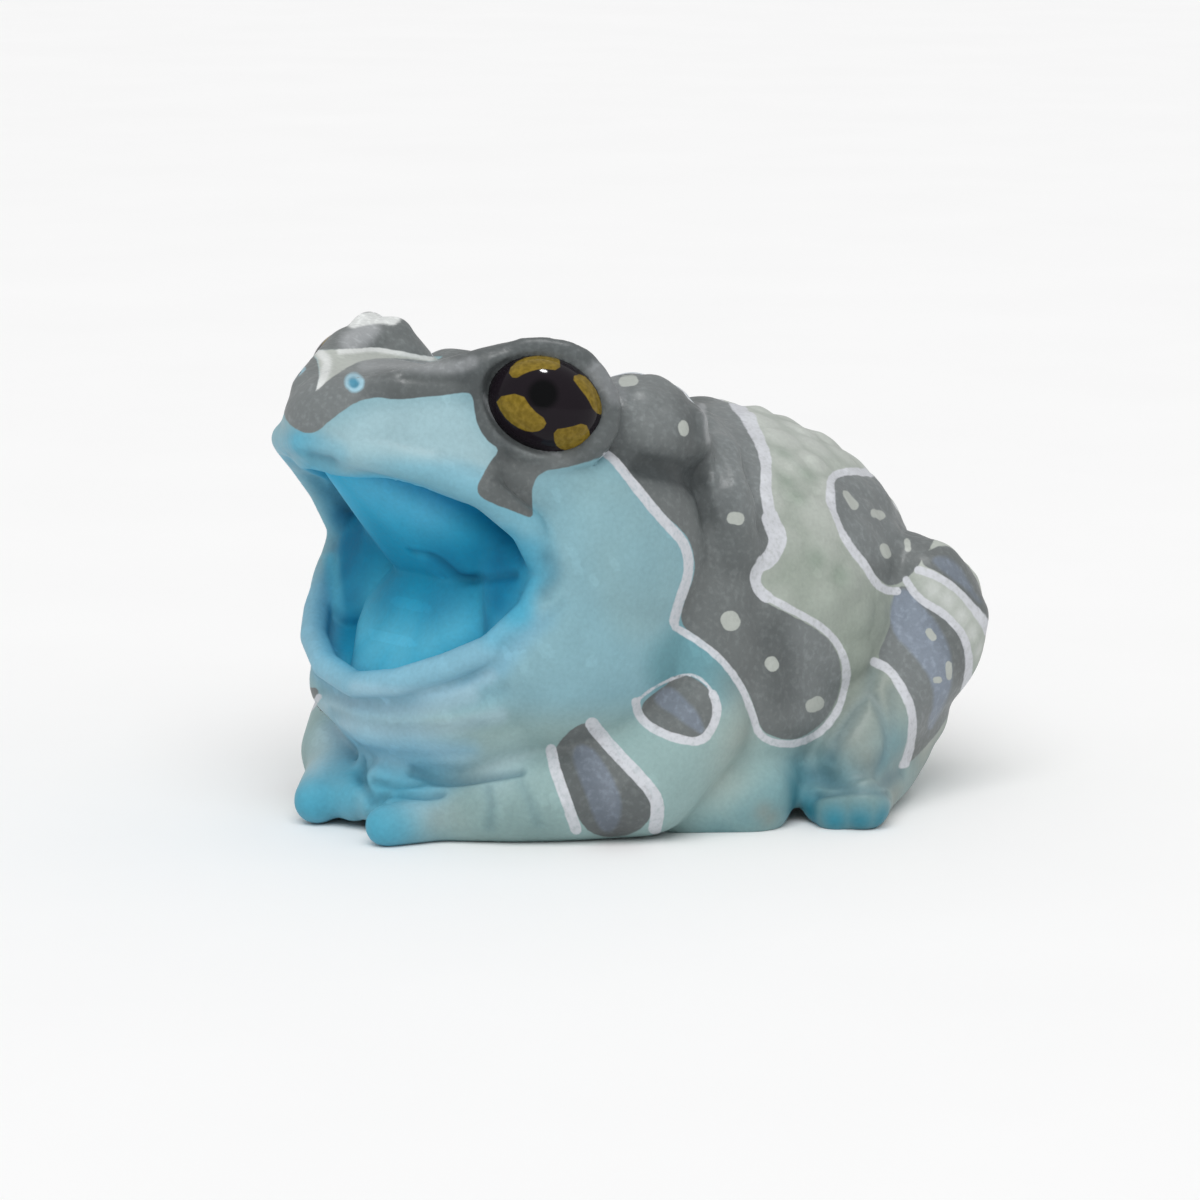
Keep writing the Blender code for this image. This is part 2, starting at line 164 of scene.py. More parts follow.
# The photo's camera, before the figure is centred: what it looks at, from where, and pixels to a millimetre.
CAMERA_TARGET = (1.9, 2.3, 16.8)
CAMERA_AZIMUTH = 50
CAMERA_ELEVATION = 10
CAMERA_DISTANCE = 420
PIXELS_PER_MM = 12
PHOTO_MIDDLE = 600
SENSOR_WIDTH = 36

# Paint colours, among them painted shade and highlights, as linear light.
COLOURS = {
    "grey_green": (0.415, 0.445, 0.41),
    # Painted shade: a darker green for the lower back, the flank and the valleys between the warts.
    "green_shade": (0.215, 0.262, 0.215),
    "leg_grey": (0.235, 0.265, 0.24),
    "arm_green": (0.265, 0.385, 0.38),
    "wrist": (0.19, 0.29, 0.285),
    "pale_blue": (0.215, 0.385, 0.44),
    "cheek_grey": (0.24, 0.375, 0.395),
    "snout_pale": (0.31, 0.465, 0.51),
    "lip_blue": (0.075, 0.36, 0.51),
    "lower_lip": (0.20, 0.42, 0.54),
    "throat_blue": (0.28, 0.54, 0.70),
    "corner_blue": (0.055, 0.32, 0.47),
    "finger_blue": (0.062, 0.315, 0.44),
    "teal": (0.11, 0.27, 0.31),
    "foot_blue": (0.010, 0.20, 0.285),
    "mouth_blue": (0.005, 0.33, 0.53),
    # Painted light: the palate near the upper lip and the front of the tongue lighter, and a painted
    # highlight along the far cheek's ridge in the mouth.
    "palate_highlight": (0.085, 0.42, 0.63),
    "mouth_highlight": (0.10, 0.46, 0.63),
    # A deeper blue of the mouth, mostly painted shade in its depths, walls and creases.
    "mouth_deep_shade": (0.002, 0.15, 0.29),
    "tan": (0.225, 0.24, 0.21),
    "arm_pale": (0.35, 0.44, 0.415),
    "foot_grey": (0.155, 0.235, 0.225),
    # Painted shadow among the warts of the back.
    "green_shadow": (0.17, 0.235, 0.18),
    "slate": (0.135, 0.148, 0.148),
    # Painted shade in the folds, grooves and hollows of the dark paint.
    "slate_shade": (0.066, 0.075, 0.077),
    "slate_light": (0.185, 0.203, 0.206),
    # Painted shadow deep in the crease behind the head.
    "fold_shadow": (0.028, 0.034, 0.036),
    # Painted highlights along the canthus ridge, the brows, a neck lobe's edge and the lower lid's rim.
    "highlight_grey": (0.40, 0.415, 0.43),
    "speck_tone": (1.38, 1.38, 1.38),
    "lavender_tone": (1.22, 1.30, 1.55),
    "chalk": (0.56, 0.575, 0.61),
    "snow": (0.66, 0.68, 0.67),
    "dot": (0.41, 0.435, 0.405),
    "streak": (0.45, 0.60, 0.68),
    "nostril_rim": (0.30, 0.49, 0.58),
    "nostril_pit": (0.07, 0.27, 0.39),
    # Painted shade in the folds of the skin.
    "fold_shade_blue": (0.010, 0.115, 0.19),
    "gold_dark": (0.145, 0.098, 0.010),
    "gold_light": (0.225, 0.155, 0.020),
    "pupil": (0.0015, 0.0016, 0.002),
    "iris": (0.011, 0.008, 0.011),
    "floor_dark": (0.9259, 0.9259, 0.9259),
    "floor_light": (0.94, 0.94, 0.94),
}

# Dark areas: contours in pixels, over what the camera sees of either side.
SLATE_AREAS = {
    "snout": [
        (314, 394), (320, 388), (328, 380), (340, 372), (355, 363), (370, 359), (395, 358), (418, 360),
        (438, 362), (446, 352), (462, 342), (484, 334), (512, 330), (545, 320), (590, 325), (625, 362),
        (640, 365), (620, 400), (612, 440), (607, 452), (598, 457), (581, 464), (558, 469), (544, 471),
        (536, 478), (532, 488), (532, 503), (534, 520), (512, 511), (492, 503), (478, 496), (477, 486),
        (485, 470), (492, 460), (500, 449), (487, 441), (479, 428), (474, 412), (473, 393), (460, 393),
        (440, 396), (415, 398), (395, 400), (380, 397), (365, 399), (355, 403), (345, 409), (335, 417),
        (326, 424), (318, 431), (310, 434), (299, 431), (289, 425), (284, 415), (282, 400), (278, 380),
        (290, 360), (305, 350), (314, 356), (318, 362), (319, 374), (318, 384),
    ],
    "far_brow": [
        (300, 350), (322, 350), (340, 349), (355, 349), (372, 347), (390, 349), (410, 353), (430, 357),
        (446, 357), (470, 350), (470, 332), (430, 330), (410, 305), (370, 290), (335, 300), (305, 330),
    ],
    "mantle": [
        (606, 372), (630, 350), (700, 380), (738, 402), (744, 420), (755, 440), (761, 460), (760, 480),
        (760, 500), (766, 520), (771, 540), (765, 552), (753, 563), (748, 580), (758, 599), (786, 613),
        (814, 627), (835, 645), (842, 672), (837, 702), (822, 724), (799, 740), (777, 739), (760, 730),
        (753, 702), (741, 679), (721, 656), (699, 638), (679, 624), (684, 600), (694, 577), (695, 560),
        (690, 541), (681, 529), (667, 518), (652, 500), (640, 487), (625, 470), (607, 458), (600, 440),
    ],
    "rump": [
        (830, 487), (834, 478), (847, 474), (877, 477), (912, 480), (940, 530), (926, 556), (917, 569),
        (900, 585), (883, 586), (861, 558), (845, 538), (831, 508),
    ],
    "thigh_high": [
        (920, 556), (934, 548), (946, 549), (960, 557), (974, 572), (984, 595), (990, 612), (987, 628),
        (973, 604), (957, 585), (937, 573), (923, 568),
    ],
    "thigh_low": [
        (895, 587), (910, 586), (920, 600), (940, 611), (958, 629), (967, 650), (967, 673), (961, 690),
        (953, 703), (945, 724), (915, 759), (905, 764), (911, 735), (909, 707), (896, 678), (875, 660),
        (887, 630),
    ],
    "arm_high": [
        (639, 706), (655, 692), (668, 684), (673, 676), (687, 674), (701, 682), (712, 692), (715, 710),
        (712, 725), (701, 740), (683, 739), (666, 734), (648, 725),
    ],
    "arm_low": [
        (583, 720), (597, 729), (617, 754), (642, 779), (655, 800), (650, 822), (630, 836), (600, 838),
        (580, 825), (568, 790), (556, 765), (554, 745),
    ],
    "far_arm": [(300, 690), (316, 686), (318, 695), (313, 705), (305, 712), (298, 705)],
}
LAVENDER_AREAS = {
    "thigh_high": [(930, 560), (945, 556), (965, 572), (982, 610), (968, 590), (950, 577), (935, 568)],
    "thigh_low": [
        (893, 592), (908, 588), (920, 603), (937, 623), (950, 647), (953, 673), (950, 693), (933, 728),
        (926, 730), (937, 693), (920, 660), (886, 628),
    ],
    "arm_high": [
        (653, 696), (668, 684), (687, 700), (701, 717), (705, 736), (690, 727), (670, 713), (656, 704),
    ],
    "arm_low": [(568, 748), (590, 743), (612, 775), (624, 805), (616, 832), (600, 832), (588, 800)],
}
# White lines beside the dark areas: half width in millimetres, then the line.
CHALK_LINES = [
    (0.42, [(606, 456), (625, 474), (636, 487), (646, 500), (661, 518), (673, 530), (684, 543), (689, 560),
            (688, 578), (678, 605), (674, 622)]),
    (0.30, [(675, 627), (700, 642), (722, 660), (741, 685), (753, 715), (758, 735), (777, 744), (800, 744),
            (826, 729), (842, 703), (847, 671), (839, 643), (817, 623), (787, 608), (760, 594)]),
    (0.48, [(733, 404), (740, 411), (748, 421), (760, 441), (766, 460), (765, 480), (765, 500), (771, 520)]),
    (0.74, [(770, 519), (778, 538), (774, 551), (764, 562)]),
    (0.48, [(764, 560), (754, 574), (756, 588), (766, 597)]),
    (0.32, [(910, 480), (877, 475), (848, 471), (833, 475), (828, 487), (829, 507), (843, 538), (859, 560),
            (876, 584), (886, 591), (897, 591)]),
    (0.30, [(918, 571), (937, 577), (957, 589), (973, 608), (986, 632)]),
    (0.32, [(906, 580), (919, 600), (941, 611), (960, 629), (969, 650), (969, 673), (964, 692)]),
    (0.36, [(872, 661), (887, 667), (903, 688), (913, 713), (912, 740), (905, 764)]),
    (0.36, [(636, 702), (638, 715), (651, 728), (673, 738), (702, 743), (714, 726), (718, 708), (713, 694)]),
    (0.12, [(636, 702), (650, 690), (668, 680), (690, 673), (706, 682), (714, 696)]),
    (0.56, [(592, 724), (606, 742), (628, 765), (648, 786), (659, 803), (655, 828)]),
    (0.46, [(551, 750), (555, 770), (565, 797), (576, 829)]),
    (0.22, [(302, 716), (312, 708), (318, 697)]),
]
DOTS = [
    (0.44, [(624, 382), (633, 382)]),
    (0.52, [(683, 427), (684, 430)]),
    (0.52, [(733, 518), (738, 519)]),
    (0.78, [(730, 620), (731, 622)]),
    (0.56, [(770, 663), (772, 665)]),
    (0.56, [(812, 706), (818, 703)]),
    (0.40, [(845, 496), (853, 506)]),
    (0.36, [(873, 514), (880, 516)]),
    (0.44, [(883, 549), (885, 554)]),
    (0.28, [(907, 544), (908, 549)]),
    (0.32, [(929, 632), (933, 637)]),
    (0.26, [(949, 664), (949, 677)]),
    (0.28, [(936, 680), (939, 680)]),
]
NOSTRIL_RIMS = [(0.78, [(354, 382), (355, 383)]), (0.10, [(299, 374), (304, 368)])]
NOSTRIL_PITS = [(0.40, [(353, 382), (354, 383)])]

# Soft fields of the base coat: colour, strength, feather in millimetres, and the contour.
FIELDS = [
    ("snout_pale", 0.95, 1.6, [
        (322, 440), (345, 420), (370, 402), (400, 398), (470, 392), (484, 430), (505, 450), (498, 470),
        (486, 488), (460, 480), (420, 468), (380, 456), (345, 450),
    ]),
    ("cheek_grey", 0.6, 1.6, [
        (560, 475), (615, 462), (660, 520), (690, 560), (670, 640), (610, 640), (590, 540),
    ]),
    ("dot", 1.0, 0.12, [
        (314, 396), (319, 384), (318, 360), (311, 354), (322, 349), (345, 348), (372, 346), (400, 350),
        (432, 356), (442, 361), (418, 362), (392, 361), (368, 363), (350, 370), (335, 380), (324, 388),
    ]),
    ("throat_blue", 0.7, 1.2, [
        (325, 715), (345, 728), (400, 738), (480, 742), (470, 765), (380, 772), (330, 760),
    ]),
]
# Soft strokes over the base coat: colour, strength, half width, feather, and the line.
STROKES = [
    ("snow", 0.9, 0.16, 0.22, [(340, 351), (357, 350), (372, 348), (392, 351), (412, 354), (430, 358)]),
    ("snow", 0.9, 0.22, 0.30, [(320, 353), (328, 360), (325, 374), (317, 391)]),
    ("lip_blue", 0.8, 0.5, 1.6, [(290, 446), (306, 444), (330, 456)]),
    ("corner_blue", 0.9, 0.3, 2.0, [(505, 545), (520, 562), (524, 585), (516, 610)]),
    ("corner_blue", 0.6, 0.3, 1.8, [(532, 552), (535, 575)]),
    ("lip_blue", 0.5, 0.3, 2.0, [(516, 615), (495, 632)]),
    ("teal", 0.75, 1.2, 2.4, [(690, 650), (672, 668), (690, 678), (720, 672)]),
    ("streak", 0.40, 0.05, 1.3, [(326, 703), (350, 705), (395, 712), (430, 708), (470, 696)]),
    ("streak", 0.35, 0.05, 1.1, [(345, 722), (390, 731), (450, 728), (500, 716)]),
    ("streak", 0.30, 0.05, 1.0, [(355, 688), (400, 696), (455, 690), (490, 676)]),
]
# The same over the dark paint, with painted shade in its folds and grooves and painted highlights on its
# ridges and rims.
DARK_STROKES = [
    ("slate_light", 0.8, 1.4, 2.4, [(735, 425), (742, 460), (738, 490)]),
    ("slate_light", 0.7, 1.2, 2.0, [(812, 640), (826, 670), (815, 705)]),
    ("slate_light", 0.6, 2.0, 2.0, [(850, 495), (870, 525)]),
    ("slate_light", 0.7, 2.0, 2.0, [(890, 620), (905, 660), (925, 700)]),
    ("slate_light", 0.6, 1.5, 2.0, [(295, 400), (305, 420), (330, 405), (355, 392)]),
    ("slate_light", 0.35, 1.5, 2.0, [(640, 385), (665, 405)]),
    ("slate_shade", 0.75, 0.8, 1.6, [(470, 368), (490, 352), (520, 338), (560, 334), (600, 352), (612, 380)]),
    ("slate_shade", 0.7, 0.8, 1.4, [(478, 384), (484, 420), (498, 445)]),
    ("slate_shade", 0.6, 0.7, 1.6, [(610, 400), (600, 432), (590, 452)]),
    ("slate_shade", 0.75, 0.6, 2.0, [(625, 462), (660, 468), (690, 478)]),
    # Painted shadow deep in the crease behind the head.
    ("fold_shadow", 0.5, 0.1, 1.3, [(640, 466), (668, 471), (690, 480), (702, 497), (707, 514)]),
    ("slate_shade", 0.35, 0.3, 2.4, [(722, 500), (724, 530), (735, 556)]),
    ("slate_shade", 0.5, 0.5, 1.6, [(690, 398), (694, 430), (690, 462)]),
    ("slate_shade", 0.45, 0.6, 2.0, [(775, 640), (785, 690)]),
    ("slate_shade", 0.45, 1.0, 1.6, [(570, 770), (585, 810), (600, 835)]),
    ("slate_shade", 0.4, 0.8, 1.4, [(635, 800), (632, 830)]),
    ("slate_shade", 0.5, 1.2, 1.6, [(385, 393), (430, 387), (465, 384)]),
    ("slate_shade", 0.4, 1.0, 1.4, [(500, 490), (520, 505)]),
    # Painted highlights along the canthus ridge, on the far brow, at the back of the brow, on a neck lobe's
    # edge and on the lower lid's rim.
    ("highlight_grey", 0.35, 0.12, 0.8, [(365, 365), (390, 362), (420, 365), (452, 368), (472, 362)]),
    ("highlight_grey", 0.65, 0.45, 1.0, [(352, 342), (362, 335), (368, 328)]),
    ("highlight_grey", 0.30, 0.5, 1.0, [(600, 372), (616, 392)]),
    ("snow", 0.95, 0.42, 0.20, [(353, 322), (363, 319), (380, 317), (393, 319)]),
    ("highlight_grey", 0.5, 0.1, 0.3, [(702, 408), (703, 425), (706, 440)]),
    ("highlight_grey", 0.3, 0.06, 0.2, [(484, 396), (490, 412), (503, 428), (522, 441), (545, 451), (560, 455)]),
]

# Folds of the skin: width and depth in millimetres, a ridge where the depth is negative, then the line.
FOLDS = [
    (1.3, 0.22, [(322, 692), (350, 703), (400, 710), (450, 706), (500, 690)]),
    (1.3, 0.18, [(332, 712), (370, 728), (420, 733), (480, 726)]),
    (1.1, 0.12, [(360, 747), (410, 757), (470, 754)]),
    (1.3, 0.34, [(549, 560), (556, 576), (546, 592)]),
    (1.2, 0.14, [(560, 603), (540, 625), (505, 645)]),
    (0.7, 0.28, [(412, 553), (436, 557), (453, 573), (466, 581), (514, 575)]),
    (0.9, 0.16, [(274, 457), (290, 455), (306, 454)]),
    (1.2, 0.40, [(312, 458), (330, 462)]),
    (1.2, 0.24, [(873, 672), (869, 693), (848, 723), (830, 756)]),
    (1.2, 0.18, [(893, 690), (893, 735), (881, 765), (855, 780)]),
    (1.2, 0.34, [(815, 776), (835, 785), (860, 789), (885, 784), (903, 772)]),
    (0.8, 0.20, [(487, 787), (491, 806), (489, 828)]),
    (0.8, 0.15, [(517, 775), (529, 800), (538, 825)]),
    (0.7, 0.40, [(362, 762), (361, 783), (374, 803)]),
    (0.7, 0.38, [(374, 803), (392, 791), (420, 797), (440, 794)]),
    (0.7, 0.45, [(412, 772), (432, 781), (460, 782), (490, 777), (520, 772)]),
    (0.6, 0.30, [(372, 781), (395, 787), (415, 784), (428, 781)]),
    (1.0, 0.28, [(868, 694), (850, 712), (834, 740)]),
    (1.0, 0.28, [(872, 694), (886, 722), (889, 750), (876, 776)]),
    (0.9, 0.40, [(815, 795), (840, 790), (868, 789), (890, 792)]),
    (1.6, 0.40, [(640, 466), (668, 471), (690, 480), (703, 500), (709, 525)]),
    (1.4, 0.22, [(692, 400), (695, 430), (690, 462)]),
    (1.3, 0.16, [(717, 455), (722, 480), (718, 515)]),
    (1.2, -0.20, [(700, 420), (704, 450), (712, 480)]),
    (1.4, -0.22, [(730, 430), (738, 465), (742, 500)]),
    (1.3, 0.14, [(777, 615), (783, 650), (790, 690)]),
    (0.7, 0.28, [(353, 382), (354, 383)]),
    (0.5, 0.22, [(297, 376), (303, 370)]),
    (0.8, 0.26, [(405, 377), (435, 380), (462, 381)]),
]

# Airbrushed spots over the base coat, some of them painted shade: colour, strength, reach in millimetres, and
# pixels on the skin.
TINTS = [
    ("snout_pale", 0.5, 2.5, [(280, 440), (275, 447)]),
    ("pale_blue", 0.5, 4.0, [(640, 560), (600, 520)]),
    ("teal", 0.55, 2.4, [(720, 830), (745, 812), (700, 835)]),
    ("teal", 0.5, 2.6, [(770, 802), (795, 800)]),
    ("arm_pale", 0.9, 2.6, [(730, 760), (738, 742), (722, 775)]),
    ("streak", 0.45, 2.4, [(322, 745), (318, 762), (330, 735)]),
    ("streak", 0.3, 3.0, [(400, 757), (440, 757)]),
    ("tan", 0.6, 1.0, [(770, 818), (764, 812)]),
    ("foot_blue", 0.6, 2.2, [(800, 775), (795, 790), (828, 765)]),
    ("foot_grey", 0.8, 2.0, [(830, 805), (850, 806), (870, 804)]),
    ("foot_blue", 0.9, 1.7, [(812, 816), (835, 821), (860, 822), (882, 820)]),
    ("finger_blue", 0.95, 2.4, [(372, 832), (362, 832), (308, 808), (303, 806)]),
    ("finger_blue", 0.7, 2.6, [(380, 790), (400, 790), (330, 800), (345, 795), (395, 835)]),
    ("finger_blue", 0.45, 2.6, [(430, 785), (350, 780)]),
    ("tan", 0.45, 1.6, [(440, 818), (455, 815)]),
    ("wrist", 0.7, 2.4, [(470, 805), (490, 820), (515, 815), (535, 825)]),
    ("tan", 0.4, 2.4, [(742, 705), (745, 730), (735, 690)]),
    ("leg_grey", 0.9, 3.6, [(855, 700), (880, 620), (870, 690), (930, 740), (940, 725)]),
    ("leg_grey", 0.8, 3.0, [(850, 740), (860, 760), (895, 790)]),
    ("grey_green", 0.8, 1.6, [(930, 742), (938, 728)]),
    ("foot_blue", 0.3, 1.8, [(888, 762), (897, 748), (845, 777)]),
    # Painted shade on the flank below the dark mantle.
    ("green_shade", 0.5, 5.0, [(800, 585), (830, 600), (850, 640), (790, 575)]),
    ("snow", 0.18, 5.0, [(790, 430), (770, 420)]),
    ("snow", 0.5, 0.8, [(933, 590), (948, 600), (962, 616), (972, 633), (979, 650)]),
    # Painted shadows among the warts of the back.
    ("green_shadow", 0.45, 1.0, [(786, 482), (797, 497), (806, 474), (783, 455), (815, 560), (838, 575)]),
]
# The same inside the mouth, with painted shade in its depths and painted light near its opening.
MOUTH_TINTS = [
    ("mouth_deep_shade", 0.8, 1.3, [(347, 520), (346, 545), (346, 570), (350, 595)]),
    ("palate_highlight", 0.9, 3.4, [(400, 495), (380, 485), (425, 505)]),
    ("mouth_deep_shade", 0.6, 2.6, [(480, 560), (450, 563), (500, 563)]),
    ("mouth_highlight", 0.95, 3.2, [(400, 645), (375, 650), (430, 640), (450, 628)]),
    ("mouth_deep_shade", 0.45, 2.4, [(505, 600), (500, 585), (385, 595)]),
]
# A painted highlight on the far cheek's ridge, and painted shade in the crease between palate and tongue.
MOUTH_STROKES = [
    ("mouth_highlight", 0.7, 0.10, 0.9, [(331, 560), (334, 590), (337, 614)]),
    ("mouth_deep_shade", 0.5, 0.05, 0.7, [(432, 558), (448, 566), (464, 578), (490, 578), (512, 576)]),
]
GOLD_AREAS = {
    "top": [(508, 371), (520, 359), (541, 355), (559, 357), (560, 370), (541, 368), (526, 372), (514, 379)],
    "back": [
        (572, 377), (582, 374), (593, 385), (601, 400), (603, 415), (595, 412), (588, 398), (580, 388),
    ],
    "bottom": [
        (554, 430), (569, 428), (585, 423), (590, 434), (589, 447), (578, 450), (563, 450), (555, 444),
    ],
    "front": [
        (495, 398), (521, 393), (532, 410), (547, 421), (542, 430), (529, 432), (515, 426), (503, 415),
    ],
}
PUPIL_CENTRE = (543, 394)
PUPIL_EDGE = (11, 19)

# How the paint and the folds are laid: insets, steps and reaches in millimetres, the step in pixels.
AREA_INSET = 0.42
OUTLINE_WIDTH = 0.3
CAST_LIFT = 0.15
SEEN_SLOPE = 0.02
ARM_REACH = 1.2
TWIN_REACH = 0.8
PATH_STEP = 4
PATH_REACH = 3.0
PATH_BREAK = 2.5
EDGE_SOFTNESS = 0.05
EDGE_WOBBLE = 0.035
GOLD_GROWTH = 0.08
SOCKET_BITE = 0.05
FOLD_FALLOFF = 1.6
# Painted shade in the folds: how fast it grows with a fold's depth, and its strongest share.
FOLD_SHADE_BY_DEPTH = 2
FOLD_SHADE_SHARE = 0.4

# Warts: how many places are tried, their radii and heights, and the least gap between them.
BIG_WARTS = (3000, (1.1, 1.9), (0.2, 0.48), 2.7)
SMALL_WARTS = (6000, (0.35, 0.6), (0.02, 0.06), 1.0)
WART_SEED = 11
# How strongly painted shade darkens the valleys between the big warts.
VALLEY_SHADE = 0.3

# The finish of the paint: sizes and heights of its grain in millimetres, and its gloss.
NOISE_SPAN = (0.3, 0.7)
GRAIN_SIZE = 0.35
GRAIN_HEIGHT = 0.07
PEBBLE_SIZE = 0.55
PEBBLE_HEIGHT = 0.10
FLECK_SIZE = 0.4
SPECK_SIZE = 0.5
SPECK_SHARE = 0.6
WOBBLE_SIZE = 0.9
BLOTCH_SIZE = 4.0
FLOOR_MOTTLE_SIZE = 40
SKIN_ROUGHNESS = 0.50
SLATE_ROUGHNESS = 0.42
MOUTH_ROUGHENING = 0.25
FLOOR_ROUGHNESS = 0.8
EYE_ROUGHNESS = 0.08
SKIN_SPECULAR = 0.26
EYE_SPECULAR = 0.12

# Light: a soft sun for the body's shading and a small round lamp for the highlights.
WORLD_STRENGTH = 0.60
SUN_AZIMUTH = 45
SUN_ELEVATION = 52
SUN_SPREAD = 50
SUN_STRENGTH = 1.75
LAMP_AZIMUTH = 180
LAMP_ELEVATION = 84
LAMP_DISTANCE = 0.5
LAMP_SIZE = 0.07
LAMP_POWER = 1.1


def direction_to(azimuth, elevation):
    """Towards a place round the figure, azimuth 0 in front of the frog and 90 on its left."""
    turn = math.radians(azimuth)
    rise = math.radians(elevation)
    return Vector((math.sin(turn) * math.cos(rise), -math.cos(turn) * math.cos(rise), math.sin(rise)))


def add_object(name, data):
    made = bpy.data.objects.new(name, data)
    bpy.context.scene.collection.objects.link(made)
    return made


def new_object(name, form):
    mesh = bpy.data.meshes.new(name)
    form.to_mesh(mesh)
    form.free()
    return add_object(name, mesh)


def bake_modifiers(obj):
    """Replaces the object's mesh by what its modifiers make of it."""
    graph = bpy.context.evaluated_depsgraph_get()
    baked = bpy.data.meshes.new_from_object(obj.evaluated_get(graph))
    old = obj.data
    obj.modifiers.clear()
    obj.data = baked
    bpy.data.meshes.remove(old)
    return obj


def add_ball(form, ball, side=1):
    """An ellipsoid, mirrored where side is -1."""
    (x, y, z), radii = ball
    place = Matrix.Translation(Vector((x * side, y, z)) * MM)
    size = Matrix.Diagonal((*(Vector(radii) * MM), 1))
    bmesh.ops.create_icosphere(form, subdivisions=4, radius=1, matrix=place @ size)


def add_hull(form, links):
    """The hull of a set of (x, y, z, radius) balls."""
    hull = bmesh.new()
    for x, y, z, radius in links:
        place = Matrix.Translation(Vector((x, y, z)) * MM)
        bmesh.ops.create_icosphere(hull, subdivisions=3, radius=radius * MM, matrix=place)
    made = bmesh.ops.convex_hull(hull, input=hull.verts)
    inner = [v for v in made["geom_interior"] if isinstance(v, bmesh.types.BMVert)]
    bmesh.ops.delete(hull, geom=inner, context="VERTS")
    piece = bpy.data.meshes.new("hull")
    hull.to_mesh(piece)
    hull.free()
    form.from_mesh(piece)
    bpy.data.meshes.remove(piece)


def add_double_hull(form, links):
    """The hull of a set of balls and their mirror images."""
    add_hull(form, [(x * side, y, z, radius) for x, y, z, radius in links for _, side in SIDES])


def add_chain(form, links, side=1):
    """Tapered links, each the hull of the balls at its two ends."""
    balls = [(x * side, y, z, radius) for x, y, z, radius in links]
    for pair in zip(balls, balls[1:]):
        add_hull(form, pair)


def fuse(obj, rounds):
    """Fuses overlapping closed shapes into one skin and softens the seams between them."""
    remesh = obj.modifiers.new("fuse", "REMESH")
    remesh.mode = "VOXEL"
    remesh.voxel_size = VOXEL * MM
    soften = obj.modifiers.new("soften", "SMOOTH")
    soften.factor = 0.5
    soften.iterations = rounds
    return bake_modifiers(obj)


def cut_away(obj, cutter):
    """Takes the cutter out of the object, and then out of the scene."""
    cut = obj.modifiers.new("cut", "BOOLEAN")
    cut.operation = "DIFFERENCE"
    cut.solver = "MANIFOLD"
    cut.object = cutter
    bake_modifiers(obj)
    mesh = cutter.data
    bpy.data.objects.remove(cutter)
    bpy.data.meshes.remove(mesh)


def keep_largest(obj):
    """Drops every closed surface but the one that fills the largest volume."""
    form = bmesh.new()
    form.from_mesh(obj.data)
    bmesh.ops.triangulate(form, faces=form.faces)
    left = set(form.faces)
    shells = []
    while left:
        start = left.pop()
        shell = [start]
        queue = [start]
        while queue:
            for edge in queue.pop().edges:
                for face in edge.link_faces:
                    if face in left:
                        left.remove(face)
                        shell.append(face)
                        queue.append(face)
        shells.append(shell)
    shells.sort(key=shell_volume)
    loose = [face for shell in shells[:-1] for face in shell]
    bmesh.ops.delete(form, geom=loose, context="FACES")
    form.to_mesh(obj.data)
    form.free()
    return obj


def shell_volume(shell):
    corners = np.array([[vert.co for vert in face.verts] for face in shell])
    return abs(np.einsum("ij,ij->i", corners[:, 0], np.cross(corners[:, 1], corners[:, 2])).sum()) / 6


def add_masses(form):
    """Everything but the lips, which are laid on once the mouth is hollowed."""
    for ball in (BARREL, NAPE, SKULL, MUZZLE, NOSE, THROAT):
        add_ball(form, ball)
    add_double_hull(form, SNOUT)
    add_chain(form, HAND_FILL)
    for name, side in SIDES:
        for ball in (FLANK, SHOULDER, BROW, TEMPLE, CHEEK, JOWL, EAR_GLAND, EAR_DRUM, NECK_LOBE, THIGH):
            add_ball(form, ball, side)
        for chain in (FLANK_FOOT, NECK_FOLD, CANTHUS, CHIN, LEG, SHIN, FOOT, *TOES):
            add_chain(form, chain, side)
        for chain in (ARMS[name], *HANDS[name]):
            add_chain(form, chain)


def add_cavity(form):
    """The wedge between the jaws, and the way out of it between the lips."""
    add_double_hull(form, CAVITY + OPENING)


def add_eye_spaces(form):
    """The room in front of each eye: an oval cone that widens outwards from the lid."""
    start, length, flare = EYE_SPACE
    for _, side in SIDES:
        place = eye_frame(side) @ Matrix.Translation((0, 0, (start + length / 2) * MM))
        size = Matrix.Diagonal((*(Vector((*EYE_RADII[:2], length)) * MM), 1))
        bmesh.ops.create_cone(
            form, cap_ends=True, segments=48, radius1=1, radius2=flare, depth=1, matrix=place @ size
        )
    bmesh.ops.recalc_face_normals(form, faces=form.faces)


def add_lips(form):
    for _, side in SIDES:
        add_chain(form, [(*point, UPPER_RIM) for point in UPPER_LIP], side)
        add_chain(form, [(*point, LOWER_RIM) for point in LOWER_LIP], side)


def add_mouth_forms(form):
    add_double_hull(form, PALATE)
    for _, side in SIDES:
        add_hull(form, [(x * side, y, z, radius) for x, y, z, radius in CORNER_FILL])
    for links in TONGUE:
        add_double_hull(form, links)


def eye_frame(side):
    """The eye's own frame: along its slit, across it, and outwards."""
    outward = direction_to(EYE_TURN_OUT, EYE_TILT_UP)
    level = Vector((0, 0, 1)).cross(outward).normalized()
    along = Matrix.Rotation(math.radians(EYE_ROLL), 3, outward) @ level
    axes = Matrix((along, outward.cross(along), outward)).transposed().to_4x4()
    mirror = Matrix.Diagonal((side, 1, 1, 1))
    return mirror @ Matrix.Translation(Vector(EYE_CENTRE) * MM) @ axes


